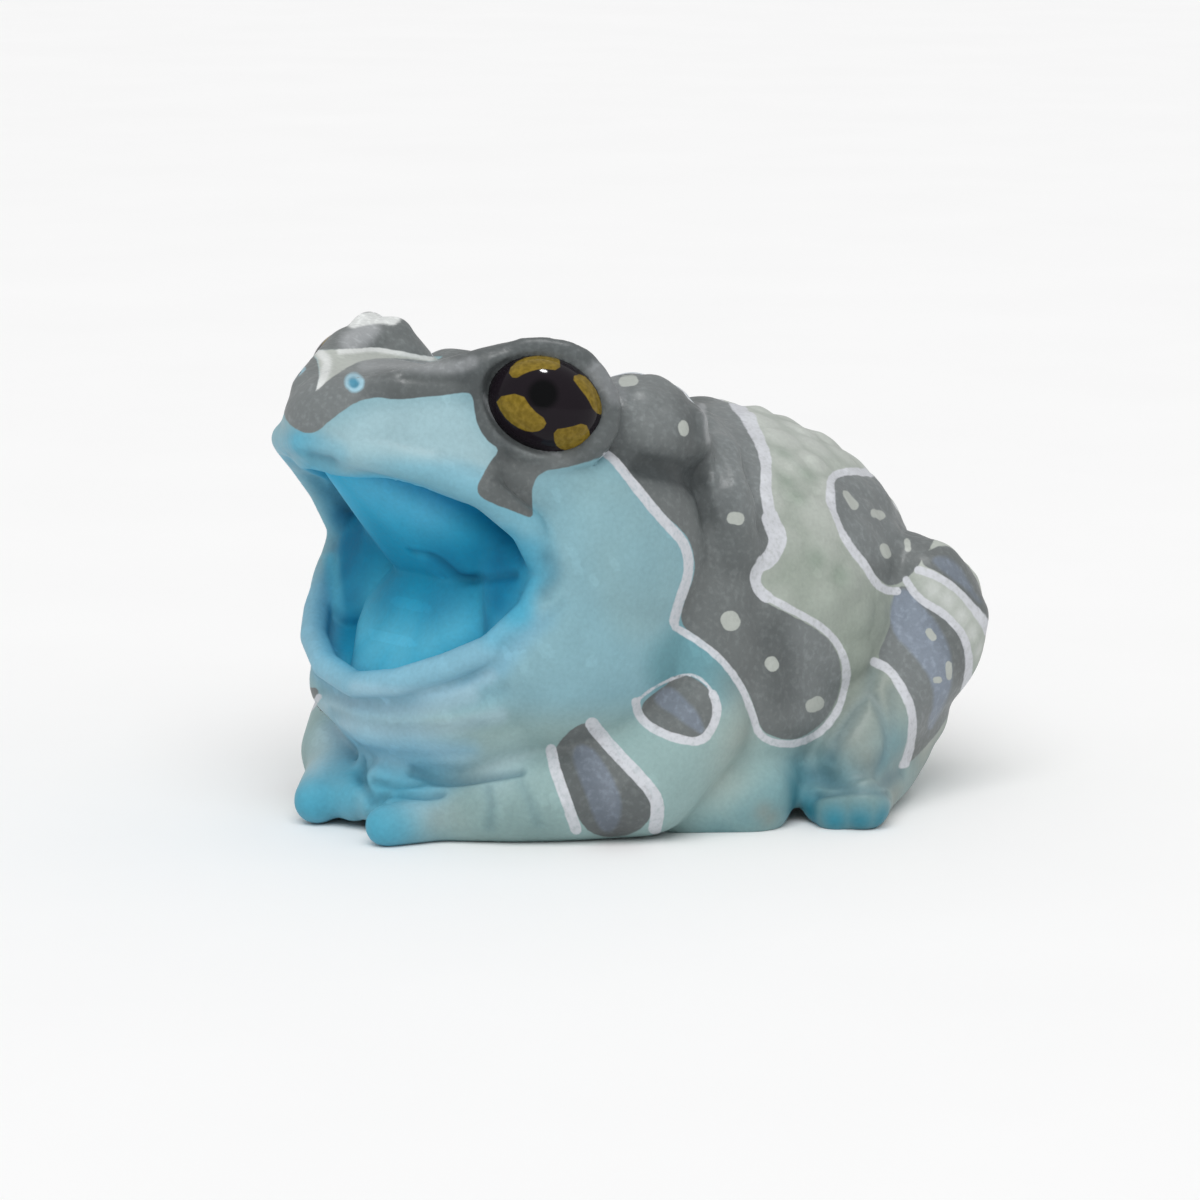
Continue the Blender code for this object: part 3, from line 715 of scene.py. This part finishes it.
def add_eye(form, side, grow=0):
    size = Matrix.Diagonal((*((Vector(EYE_RADII) + Vector((grow,) * 3)) * MM), 1))
    bmesh.ops.create_uvsphere(
        form, u_segments=EYE_SEGMENTS, v_segments=EYE_SEGMENTS // 2, radius=1, matrix=eye_frame(side) @ size
    )
    bmesh.ops.recalc_face_normals(form, faces=form.faces)


def add_lid(form, side, steps=20):
    """The raised ring of skin that the eye looks out of."""
    place = eye_frame(side)
    ring = []
    for step in range(steps + 1):
        angle = math.tau * step / steps
        along = (EYE_RADII[0] + LID_REACH) * math.cos(angle)
        across = (EYE_RADII[1] + LID_REACH) * math.sin(angle)
        ring.append((*(place @ (Vector((along, across, LID_DEPTH)) * MM) / MM), LID_RADIUS))
    add_chain(form, ring)


def make_skin():
    form = bmesh.new()
    add_masses(form)
    skin = fuse(new_object("skin", form), MASS_SOFTENING)
    hollows = bmesh.new()
    add_cavity(hollows)
    add_eye_spaces(hollows)
    cut_away(skin, fuse(new_object("hollows", hollows), SKIN_SOFTENING))
    extra = bmesh.new()
    extra.from_mesh(skin.data)
    add_lips(extra)
    add_mouth_forms(extra)
    for _, side in SIDES:
        add_lid(extra, side)
    extra.to_mesh(skin.data)
    extra.free()
    return keep_largest(fuse(skin, SKIN_SOFTENING))


class Skin:
    """The skin as arrays in millimetres, with the pixel of the photo whose paint each point takes."""

    def __init__(self, obj):
        self.mesh = obj.data
        self.tree = BVHTree.FromPolygons(
            [vert.co / MM for vert in self.mesh.vertices], [face.vertices[:] for face in self.mesh.polygons]
        )
        self.points = np.array([vert.co[:] for vert in self.mesh.vertices]) / MM
        self.read_normals()
        self.near = point_tree(self.points)
        self.seen = self.find_seen()
        self.find_pixels()

    def read_normals(self):
        self.normals = np.array([normal.vector[:] for normal in self.mesh.vertex_normals])

    def find_seen(self):
        eye_point = np.array(CAMERA_TARGET) + np.array(photo_axes()[2]) * CAMERA_DISTANCE
        to_camera = eye_point - self.points
        to_camera /= np.linalg.norm(to_camera, axis=1)[:, None]
        seen = (to_camera * self.normals).sum(axis=1) > SEEN_SLOPE
        starts = self.points + self.normals * CAST_LIFT
        for index in np.flatnonzero(seen):
            seen[index] = self.tree.ray_cast(starts[index], to_camera[index])[0] is None
        return seen

    def find_pixels(self):
        """A point that the camera sees takes its own pixel, another its twin's or its nearest neighbour's."""
        twins = twin_points(self.points)
        self.pixels = to_pixels(self.points)
        self.known = self.seen.copy()
        for index in np.flatnonzero(~self.seen):
            _, twin, gap = self.near.find(twins[index])
            self.known[index] = self.seen[twin] and gap < TWIN_REACH
        shared = self.known & ~self.seen
        self.pixels[shared] = to_pixels(twins[shared])
        known = np.flatnonzero(self.known)
        tree = point_tree(self.points[known])
        for index in np.flatnonzero(~self.known):
            self.pixels[index] = self.pixels[known[tree.find(self.points[index])[1]]]

    def write_points(self):
        self.mesh.vertices.foreach_set("co", (self.points * MM).astype(np.float32).ravel())
        self.mesh.update()
        self.read_normals()


def photo_axes():
    """The camera's right, up and backward directions."""
    azimuth = math.radians(CAMERA_AZIMUTH)
    right = Vector((math.cos(azimuth), math.sin(azimuth), 0))
    back = direction_to(CAMERA_AZIMUTH, CAMERA_ELEVATION)
    return right, back.cross(right), back


def to_pixels(points):
    right, up, back = (np.array(axis) for axis in photo_axes())
    away = points - np.array(CAMERA_TARGET) - back * CAMERA_DISTANCE
    scale = PIXELS_PER_MM * CAMERA_DISTANCE / -(away @ back)
    return np.stack([PHOTO_MIDDLE + away @ right * scale, PHOTO_MIDDLE - away @ up * scale], axis=1)


def cast(skin, pixel):
    """The first point of the skin at a pixel of the photo, or None."""
    right, up, back = photo_axes()
    across = (pixel[0] - PHOTO_MIDDLE) / PIXELS_PER_MM
    rise = (PHOTO_MIDDLE - pixel[1]) / PIXELS_PER_MM
    aim = right * across + up * rise - back * CAMERA_DISTANCE
    return skin.tree.ray_cast(Vector(CAMERA_TARGET) + back * CAMERA_DISTANCE, aim.normalized())[0]


def rounded(line, closed, rounds=2):
    """The line with its corners cut, closed into a ring or open."""
    points = np.array(line, float)
    for _ in range(rounds):
        following = np.roll(points, -1, axis=0)
        cut = np.stack([points * 0.75 + following * 0.25, points * 0.25 + following * 0.75], axis=1)
        if closed:
            points = cut.reshape(-1, 2)
        else:
            points = np.concatenate([points[:1], cut[:-1].reshape(-1, 2), points[-1:]])
    return points


def segment_gap(points, start, end):
    """How far points or pixels lie from a straight piece of a line."""
    edge = end - start
    away = points - start
    along = np.clip(away @ edge / max(edge @ edge, 1e-9), 0, 1)
    return np.linalg.norm(away - along[:, None] * edge, axis=1)


def inside_distance(pixels, contour, rounds=2):
    """How many millimetres pixels lie inside a closed contour, negative outside it."""
    nearest = np.full(len(pixels), np.inf)
    inside = np.zeros(len(pixels), bool)
    corners = rounded(contour, True, rounds)
    for start, end in zip(corners, np.roll(corners, -1, axis=0)):
        nearest = np.minimum(nearest, segment_gap(pixels, start, end))
        spans = (start[1] > pixels[:, 1]) != (end[1] > pixels[:, 1])
        rise = (end - start)[1] or 1
        inside ^= spans & (pixels[:, 0] - start[0] < (pixels[:, 1] - start[1]) / rise * (end - start)[0])
    return np.where(inside, nearest, -nearest) / PIXELS_PER_MM


def stroke_distance(pixels, line):
    """How many millimetres pixels lie from an open line."""
    corners = rounded(line, False)
    nearest = np.min([segment_gap(pixels, *ends) for ends in zip(corners[:-1], corners[1:])], axis=0)
    return nearest / PIXELS_PER_MM


def twin_points(points):
    """The points' places on the other side, where an arm's go with the arm, which lies differently."""
    flip = np.array((-1, 1, 1))
    placed = points * flip
    nearest = np.full(len(points), ARM_REACH)
    for own, other in (("left", "right"), ("right", "left")):
        chain = np.array(ARMS[own])
        twin = np.array(ARMS[other])
        for index in range(len(chain) - 1):
            start, end = chain[index], chain[index + 1]
            edge = (end - start)[:3]
            along = np.clip((points - start[:3]) @ edge / (edge @ edge), 0, 1)[:, None]
            here = start + (end - start) * along
            there = twin[index] + (twin[index + 1] - twin[index]) * along
            away = points - here[:, :3]
            beyond = np.linalg.norm(away, axis=1) - here[:, 3]
            closer = beyond < nearest
            moved = there[:, :3] + away * flip * (there[:, 3:] / here[:, 3:])
            placed[closer] = moved[closer]
            nearest = np.minimum(nearest, beyond)
    return placed


def point_tree(points):
    tree = KDTree(len(points))
    for index, point in enumerate(points):
        tree.insert(point, index)
    tree.balance()
    return tree


def area_distance(skin, areas):
    """Millimetres from each point to the edge of the nearest of the areas, negative inside them."""
    depth = np.max([inside_distance(skin.pixels, contour) for contour in areas.values()], axis=0)
    tree = point_tree(skin.points[skin.known & (depth > AREA_INSET)])
    for index in np.flatnonzero(~skin.known):
        depth[index] = AREA_INSET - tree.find(skin.points[index])[2]
    return -depth


def line_distance(skin, lines):
    """Millimetres from each point to the edge of the nearest of the (half width, line) strokes."""
    distance = np.min([stroke_distance(skin.pixels, line) - half_width for half_width, line in lines], axis=0)
    distance[~skin.known] = PATH_REACH
    return distance


def path_on_skin(skin, line):
    """A line of pixels laid on the skin."""
    corners = rounded(line, False)
    steps = np.hypot(*np.diff(corners, axis=0).T)
    along = np.concatenate([[0], np.cumsum(steps)])
    places = np.linspace(0, along[-1], max(2, int(along[-1] / PATH_STEP)))
    dense = np.stack([np.interp(places, along, values) for values in corners.T], axis=1)
    return np.array([hit for hit in (cast(skin, pixel) for pixel in dense) if hit])


def path_distance(points, path):
    """Millimetres from each point to a path, up to PATH_REACH."""
    distance = np.full(len(points), PATH_REACH)
    for start, end in zip(path[:-1], path[1:]):
        if np.linalg.norm(end - start) > PATH_BREAK:
            continue
        low = np.minimum(start, end) - PATH_REACH
        high = np.maximum(start, end) + PATH_REACH
        near = np.flatnonzero(((points > low) & (points < high)).all(axis=1))
        distance[near] = np.minimum(distance[near], segment_gap(points[near], start, end))
    return distance


def smooth_step(low, high, values):
    share = np.clip((values - low) / (high - low), 0, 1)
    return share * share * (3 - 2 * share)


def press_folds(skin):
    """Presses the folds into the skin and returns how deep each point lies in one, from 0 to 1, for the
    painted shade in the folds.

    What the camera doesn't see takes its folds from the other side.
    """
    push = np.zeros(len(skin.points))
    fold_shade = np.zeros(len(skin.points))
    for width, depth, line in FOLDS:
        path = path_on_skin(skin, line)
        own = path_distance(skin.points, path)
        twin = path_distance(skin.points, twin_points(path))
        share = np.exp(-((np.where(skin.seen, own, np.minimum(own, twin)) * FOLD_FALLOFF / width) ** 2))
        push = np.where(abs(depth * share) > abs(push), depth * share, push)
        fold_shade = np.maximum(fold_shade, share * max(depth, 0) * FOLD_SHADE_BY_DEPTH)
    skin.points -= skin.normals * push[:, None]
    skin.write_points()
    return np.clip(fold_shade, 0, 1)


def raise_warts(skin, allowed, draw, count, radii, heights, spacing):
    """Raises warts at random places of the skin, where allowed is above a random draw, and returns them."""
    centres = []
    rise = np.zeros(len(skin.points))
    for index in draw.choice(len(skin.points), size=count, replace=False):
        centre = skin.points[index]
        if draw.random() > allowed[index]:
            continue
        if centres and np.linalg.norm(np.array(centres) - centre, axis=1).min() < spacing:
            continue
        centres.append(centre)
        radius = draw.uniform(*radii)
        height = draw.uniform(*heights)
        for _, near, distance in skin.near.find_range(centre, radius * 2):
            rise[near] = max(rise[near], height * math.exp(-((distance / radius) ** 2)))
    skin.points += skin.normals * rise[:, None]
    skin.write_points()
    return rise


def hull_distance(points):
    """Millimetres outside the hull of the mouth's hollow, negative inside."""
    form = bmesh.new()
    add_double_hull(form, CAVITY)
    distance = np.full(len(points), -np.inf)
    for face in form.faces:
        face.normal_update()
        centre = np.array(face.calc_center_median()) / MM
        distance = np.maximum(distance, (points - centre) @ np.array(face.normal))
    form.free()
    return distance


def blend(coat, colour, share):
    return coat + (np.array(COLOURS[colour]) - coat) * np.clip(share, 0, 1)[:, None]


def lip_distance(points, lip):
    lines = [np.array(lip) * (side, 1, 1) for _, side in SIDES]
    return np.min([segment_gap(points, *ends) for line in lines for ends in zip(line[:-1], line[1:])], axis=0)


def lay_strokes(skin, coat, strokes):
    for colour, strength, half_width, feather, line in strokes:
        gap = stroke_distance(skin.pixels, line) - half_width
        coat = blend(coat, colour, strength * smooth_step(feather, 0, gap))
    return coat


def lay_tints(skin, coat, tints, within):
    for colour, strength, reach, spots in tints:
        hits = np.array([hit for hit in (cast(skin, spot) for spot in spots) if hit])
        centres = np.concatenate([hits, twin_points(hits)])
        distance = np.min([np.linalg.norm(skin.points - centre, axis=1) for centre in centres], axis=0)
        coat = blend(coat, colour, strength * np.exp(-((distance / reach) ** 2)) * within)
    return coat


def lay_base_coat(skin, in_mouth):
    """The airbrushed colours under the markings, with painted shade and light among them, one for each point.

    Each fade runs between two places along an axis, or between two distances, in millimetres.
    """
    x, y, z = skin.points.T
    coat = np.tile(COLOURS["grey_green"], (len(x), 1))
    # Painted shade: the lower back darker towards the bottom.
    coat = blend(coat, "green_shade", smooth_step(20, 8, z) * smooth_step(0, 6, y) * 0.45)
    coat = blend(coat, "pale_blue", smooth_step(6, -1, y))
    coat = blend(coat, "cheek_grey", smooth_step(12, 6, z) * smooth_step(-14, -4, y) * 0.7)
    coat = blend(coat, "arm_green", smooth_step(13, 9, z) * smooth_step(5, 9, abs(x)) * smooth_step(10, 4, y))
    for colour, strength, feather, contour in FIELDS:
        depth = inside_distance(skin.pixels, contour)
        coat = blend(coat, colour, strength * smooth_step(-feather, feather, depth))
    upper = lip_distance(skin.points, UPPER_LIP)
    lower = lip_distance(skin.points, LOWER_LIP)
    coat = blend(coat, "lip_blue", smooth_step(2.3, 0.9, upper) * smooth_step(32.6, 31.0, z) * 0.5)
    coat = blend(coat, "lower_lip", smooth_step(3.2, 1.6, lower) * smooth_step(20.5, 18, z) * 0.85)
    coat = lay_strokes(skin, coat, STROKES)
    coat = lay_tints(skin, coat, TINTS, 1 - in_mouth)
    depth = np.minimum(upper, lower)
    coat = blend(coat, "mouth_blue", in_mouth * smooth_step(0.4, 3.2, depth))
    # Painted shade: the mouth's far walls and its depths darker.
    walls = smooth_step(6.5, 10, abs(x)) * smooth_step(2, 5, depth)
    coat = blend(coat, "mouth_deep_shade", in_mouth * np.maximum(walls, smooth_step(5, 12, depth) * 0.35) * 0.9)
    coat = lay_tints(skin, coat, MOUTH_TINTS, in_mouth)
    return lay_strokes(skin, coat, MOUTH_STROKES)


def set_floats(mesh, name, values):
    layer = mesh.attributes.new(name, "FLOAT", "POINT")
    layer.data.foreach_set("value", np.asarray(values, np.float32))


def set_colours(mesh, name, colours):
    layer = mesh.attributes.new(name, "FLOAT_COLOR", "POINT")
    full = np.concatenate([colours, np.ones((len(colours), 1))], axis=1)
    layer.data.foreach_set("color", full.astype(np.float32).ravel())


def add_node(tree, kind, inputs=None, **settings):
    made = tree.nodes.new(kind)
    for key, value in settings.items():
        setattr(made, key, value)
    for key, value in (inputs or {}).items():
        if isinstance(value, bpy.types.NodeSocket):
            tree.links.new(value, made.inputs[key])
        else:
            made.inputs[key].default_value = value
    return made


def read_layer(tree, name, output="Fac"):
    return add_node(tree, "ShaderNodeAttribute", attribute_name=name).outputs[output]


def mix_colours(tree, share, first, second, way="MIX"):
    return add_node(
        tree, "ShaderNodeMix", {0: share, 6: first, 7: second}, data_type="RGBA", blend_type=way
    ).outputs[2]


def spread(tree, value, low, high, to_low, to_high):
    return add_node(
        tree,
        "ShaderNodeMapRange",
        {"Value": value, "From Min": low, "From Max": high, "To Min": to_low, "To Max": to_high},
    ).outputs[0]


def combine(tree, operation, first, second):
    return add_node(tree, "ShaderNodeMath", {0: first, 1: second}, operation=operation).outputs[0]


def noise(tree, place, size, detail=2):
    """Noise whose features are about size millimetres wide."""
    inputs = {"Vector": place, "Scale": 1 / (size * MM), "Detail": detail}
    return add_node(tree, "ShaderNodeTexNoise", inputs).outputs["Fac"]


def paint_share(tree, layer, wobble, soft=EDGE_SOFTNESS):
    """1 within a painted area and 0 outside it, with a brushed edge."""
    return spread(tree, combine(tree, "ADD", read_layer(tree, layer), wobble), -soft, soft, 1, 0)


def rgba(name):
    return (*COLOURS[name], 1)


def new_material(name):
    """A material, its node tree, its shader, and the place on the object that its noise reads."""
    material = bpy.data.materials.new(name)
    material.use_nodes = True
    tree = material.node_tree
    place = add_node(tree, "ShaderNodeTexCoord").outputs["Object"]
    return material, tree, tree.nodes["Principled BSDF"], place


def make_skin_material():
    material, tree, shader, place = new_material("painted_vinyl")
    fine = noise(tree, place, GRAIN_SIZE, 3)
    broad = noise(tree, place, BLOTCH_SIZE, 3)
    wobble = spread(tree, noise(tree, place, WOBBLE_SIZE), *NOISE_SPAN, -EDGE_WOBBLE, EDGE_WOBBLE)
    slate = paint_share(tree, "slate_mm", wobble)
    cover = spread(tree, fine, 0.3, 0.5, 0.75, 0.97)
    chalk = combine(tree, "MULTIPLY", paint_share(tree, "chalk_mm", wobble), cover)
    dark = read_layer(tree, "dark_coat", "Color")
    specks = spread(tree, noise(tree, place, SPECK_SIZE, 4), 0.5, 0.68, 0, SPECK_SHARE)
    dark = mix_colours(tree, specks, dark, rgba("speck_tone"), "MULTIPLY")
    lavender = mix_colours(tree, 1.0, dark, rgba("lavender_tone"), "MULTIPLY")
    colour = read_layer(tree, "coat", "Color")
    # Painted shade darkens the skin in its folds.
    fold_shade = spread(tree, read_layer(tree, "fold_shade"), 0, 1, 0, FOLD_SHADE_SHARE)
    colour = mix_colours(tree, fold_shade, colour, rgba("fold_shade_blue"))
    colour = mix_colours(tree, slate, colour, dark)
    colour = mix_colours(tree, paint_share(tree, "lavender_mm", wobble, 0.16), colour, lavender)
    colour = mix_colours(tree, chalk, colour, rgba("chalk"))
    colour = mix_colours(tree, paint_share(tree, "dot_mm", wobble), colour, rgba("dot"))
    colour = mix_colours(tree, paint_share(tree, "rim_mm", wobble, 0.12), colour, rgba("nostril_rim"))
    colour = mix_colours(tree, paint_share(tree, "pit_mm", wobble, 0.12), colour, rgba("nostril_pit"))
    # Painted shade in the hollows and painted light on the edges, from the skin's pointiness, multiplied with
    # the random grain and blotches.
    hollow_shade_edge_light = add_node(tree, "ShaderNodeNewGeometry").outputs["Pointiness"]
    hollow_shade_edge_light = spread(tree, hollow_shade_edge_light, 0.46, 0.54, 0.90, 1.07)
    grain_and_shade = combine(tree, "MULTIPLY", hollow_shade_edge_light, spread(tree, fine, *NOISE_SPAN, 0.95, 1.05))
    grain_and_shade = combine(tree, "MULTIPLY", grain_and_shade, spread(tree, broad, *NOISE_SPAN, 0.95, 1.05))
    grey = add_node(tree, "ShaderNodeCombineColor", {0: grain_and_shade, 1: grain_and_shade, 2: grain_and_shade}).outputs[0]
    colour = mix_colours(tree, 1.0, colour, grey, "MULTIPLY")
    tree.links.new(colour, shader.inputs["Base Color"])
    uneven = spread(tree, fine, *NOISE_SPAN, -0.05, 0.06)
    rough = combine(tree, "ADD", spread(tree, slate, 0, 1, SKIN_ROUGHNESS, SLATE_ROUGHNESS), uneven)
    rough = combine(tree, "ADD", rough, spread(tree, read_layer(tree, "in_mouth"), 0, 1, 0, MOUTH_ROUGHENING))
    tree.links.new(rough, shader.inputs["Roughness"])
    shader.inputs["Specular IOR Level"].default_value = SKIN_SPECULAR
    cells = add_node(
        tree, "ShaderNodeTexVoronoi", {"Vector": place, "Scale": 1 / (PEBBLE_SIZE * MM)}, feature="SMOOTH_F1"
    ).outputs["Distance"]
    raised = {"Height": cells, "Strength": 0.30, "Distance": PEBBLE_HEIGHT * MM}
    pebbles = add_node(tree, "ShaderNodeBump", raised, invert=True)
    grained = {"Height": fine, "Strength": 0.38, "Distance": GRAIN_HEIGHT * MM, "Normal": pebbles.outputs[0]}
    leather = add_node(tree, "ShaderNodeBump", grained)
    tree.links.new(leather.outputs[0], shader.inputs["Normal"])
    return material


def make_eye_material():
    material, tree, shader, place = new_material("eye_gloss")
    flecks = spread(tree, noise(tree, place, FLECK_SIZE, 3), 0.35, 0.65, 0, 1)
    gold = mix_colours(tree, flecks, rgba("gold_dark"), rgba("gold_light"))
    iris = mix_colours(tree, read_layer(tree, "iris"), rgba("pupil"), rgba("iris"))
    share = spread(tree, read_layer(tree, "gold_mm"), -GOLD_GROWTH, 0, 0, 1)
    tree.links.new(mix_colours(tree, share, iris, gold), shader.inputs["Base Color"])
    shader.inputs["Roughness"].default_value = EYE_ROUGHNESS
    shader.inputs["Specular IOR Level"].default_value = EYE_SPECULAR
    return material


def make_floor_material():
    """Matt white with a faint mottle."""
    material, tree, shader, place = new_material("pale_floor")
    mottle = spread(tree, noise(tree, place, FLOOR_MOTTLE_SIZE, 3), *NOISE_SPAN, 0, 1)
    colour = mix_colours(tree, mottle, rgba("floor_dark"), rgba("floor_light"))
    tree.links.new(colour, shader.inputs["Base Color"])
    shader.inputs["Roughness"].default_value = FLOOR_ROUGHNESS
    return material


def finish_mesh(obj, material):
    obj.data.transform(Matrix.Translation((0, CENTRE_SHIFT * MM, 0)))
    obj.data.materials.clear()
    obj.data.materials.append(material)
    obj.data.shade_smooth()


def cut_skin(skin):
    """Cuts the eyes' sockets and the flat that the figure rests on."""
    form = bmesh.new()
    for _, side in SIDES:
        add_eye(form, side, -SOCKET_BITE)
    bmesh.ops.create_cube(form, size=0.2, matrix=Matrix.Translation((0, 0, -0.1)))
    cut_away(skin, new_object("cutter", form))


def make_painted_skin():
    obj = make_skin()
    cut_skin(obj)
    keep_largest(obj)
    obj.name = "frog_skin"
    skin = Skin(obj)
    slate = area_distance(skin, SLATE_AREAS)
    chalk = line_distance(skin, CHALK_LINES)
    chalk[~skin.known] = abs(slate[~skin.known] - OUTLINE_WIDTH) - OUTLINE_WIDTH
    in_mouth = smooth_step(1.9, 0.3, hull_distance(skin.points))
    set_floats(skin.mesh, "slate_mm", slate + in_mouth * PATH_REACH)
    set_floats(skin.mesh, "lavender_mm", area_distance(skin, LAVENDER_AREAS))
    set_floats(skin.mesh, "chalk_mm", chalk + in_mouth * PATH_REACH)
    for name, lines in (("dot_mm", DOTS), ("rim_mm", NOSTRIL_RIMS), ("pit_mm", NOSTRIL_PITS)):
        set_floats(skin.mesh, name, line_distance(skin, lines))
    set_floats(skin.mesh, "in_mouth", in_mouth)
    coat = lay_base_coat(skin, in_mouth)
    dark = np.tile(COLOURS["slate"], (len(skin.points), 1))
    set_colours(skin.mesh, "dark_coat", lay_strokes(skin, dark, DARK_STROKES))
    set_floats(skin.mesh, "fold_shade", press_folds(skin))
    x, y, z = skin.points.T
    outside = smooth_step(2, 3.5, hull_distance(skin.points)) * smooth_step(0.6, 2.5, z)
    back = smooth_step(2, 8, y) * smooth_step(9, 15, z) * smooth_step(22, 17, abs(x))
    crown = smooth_step(27, 31, z) * smooth_step(-12, -6, y)
    draw = np.random.default_rng(WART_SEED)
    warty = outside * np.maximum(back, crown * 0.5)
    lumps = raise_warts(skin, warty, draw, *BIG_WARTS)
    raise_warts(skin, warty, draw, *SMALL_WARTS)
    # Painted shade in the valleys between the big warts.
    wart_valley_shade = warty * smooth_step(0.16, 0.02, lumps) * VALLEY_SHADE
    set_colours(skin.mesh, "coat", blend(coat, "green_shade", wart_valley_shade))
    finish_mesh(obj, make_skin_material())
    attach(obj, "root")
    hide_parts(*[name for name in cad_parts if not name.startswith("eye_")])


def make_eyes():
    material = make_eye_material()
    form = bmesh.new()
    add_eye(form, 1)
    pixels = to_pixels(np.array([vert.co[:] for vert in form.verts]) / MM)
    form.free()
    gold = np.max([inside_distance(pixels, area, 1) for area in GOLD_AREAS.values()], axis=0)
    pupil = np.hypot(*(pixels - PUPIL_CENTRE).T)
    for name, side in SIDES:
        form = bmesh.new()
        add_eye(form, side)
        obj = new_object("eye_dome_" + name, form)
        set_floats(obj.data, "gold_mm", gold)
        set_floats(obj.data, "iris", smooth_step(*PUPIL_EDGE, pupil))
        finish_mesh(obj, material)
        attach(obj, "root")
        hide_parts("eye_" + name)


def make_floor():
    form = bmesh.new()
    bmesh.ops.create_grid(form, x_segments=8, y_segments=8, size=3)
    floor = new_object("floor", form)
    floor.data.materials.append(make_floor_material())


def add_lamp(name, kind, energy, towards, distance):
    lamp = bpy.data.lights.new(name, kind)
    lamp.energy = energy
    obj = add_object(name, lamp)
    obj.location = towards * distance
    obj.rotation_euler = towards.to_track_quat("Z", "Y").to_euler()
    return obj


def set_light():
    world = bpy.data.worlds.new("studio")
    world.use_nodes = True
    sky = world.node_tree.nodes["Background"]
    sky.inputs["Color"].default_value = (1, 1, 1, 1)
    sky.inputs["Strength"].default_value = WORLD_STRENGTH
    bpy.context.scene.world = world
    bpy.context.scene.view_settings.view_transform = "Standard"
    sun = add_lamp("sun", "SUN", SUN_STRENGTH, direction_to(SUN_AZIMUTH, SUN_ELEVATION), 1)
    sun.data.angle = math.radians(SUN_SPREAD)
    sun.visible_glossy = False
    above = direction_to(LAMP_AZIMUTH, LAMP_ELEVATION)
    spot = add_lamp("round_lamp", "AREA", LAMP_POWER, above, LAMP_DISTANCE)
    spot.visible_diffuse = False
    spot.data.shape = "DISK"
    spot.data.size = LAMP_SIZE


def set_camera():
    camera = bpy.data.cameras.new("photo_camera")
    camera.sensor_width = SENSOR_WIDTH
    camera.lens = PIXELS_PER_MM * CAMERA_DISTANCE * camera.sensor_width / (2 * PHOTO_MIDDLE)
    camera.clip_start = 0.01
    obj = add_object("photo_camera", camera)
    back = photo_axes()[2]
    target = Vector(CAMERA_TARGET) + Vector((0, CENTRE_SHIFT, 0))
    obj.location = (target + back * CAMERA_DISTANCE) * MM
    obj.rotation_euler = back.to_track_quat("Z", "Y").to_euler()
    bpy.context.scene.camera = obj


make_painted_skin()
make_eyes()
make_floor()
set_light()
set_camera()
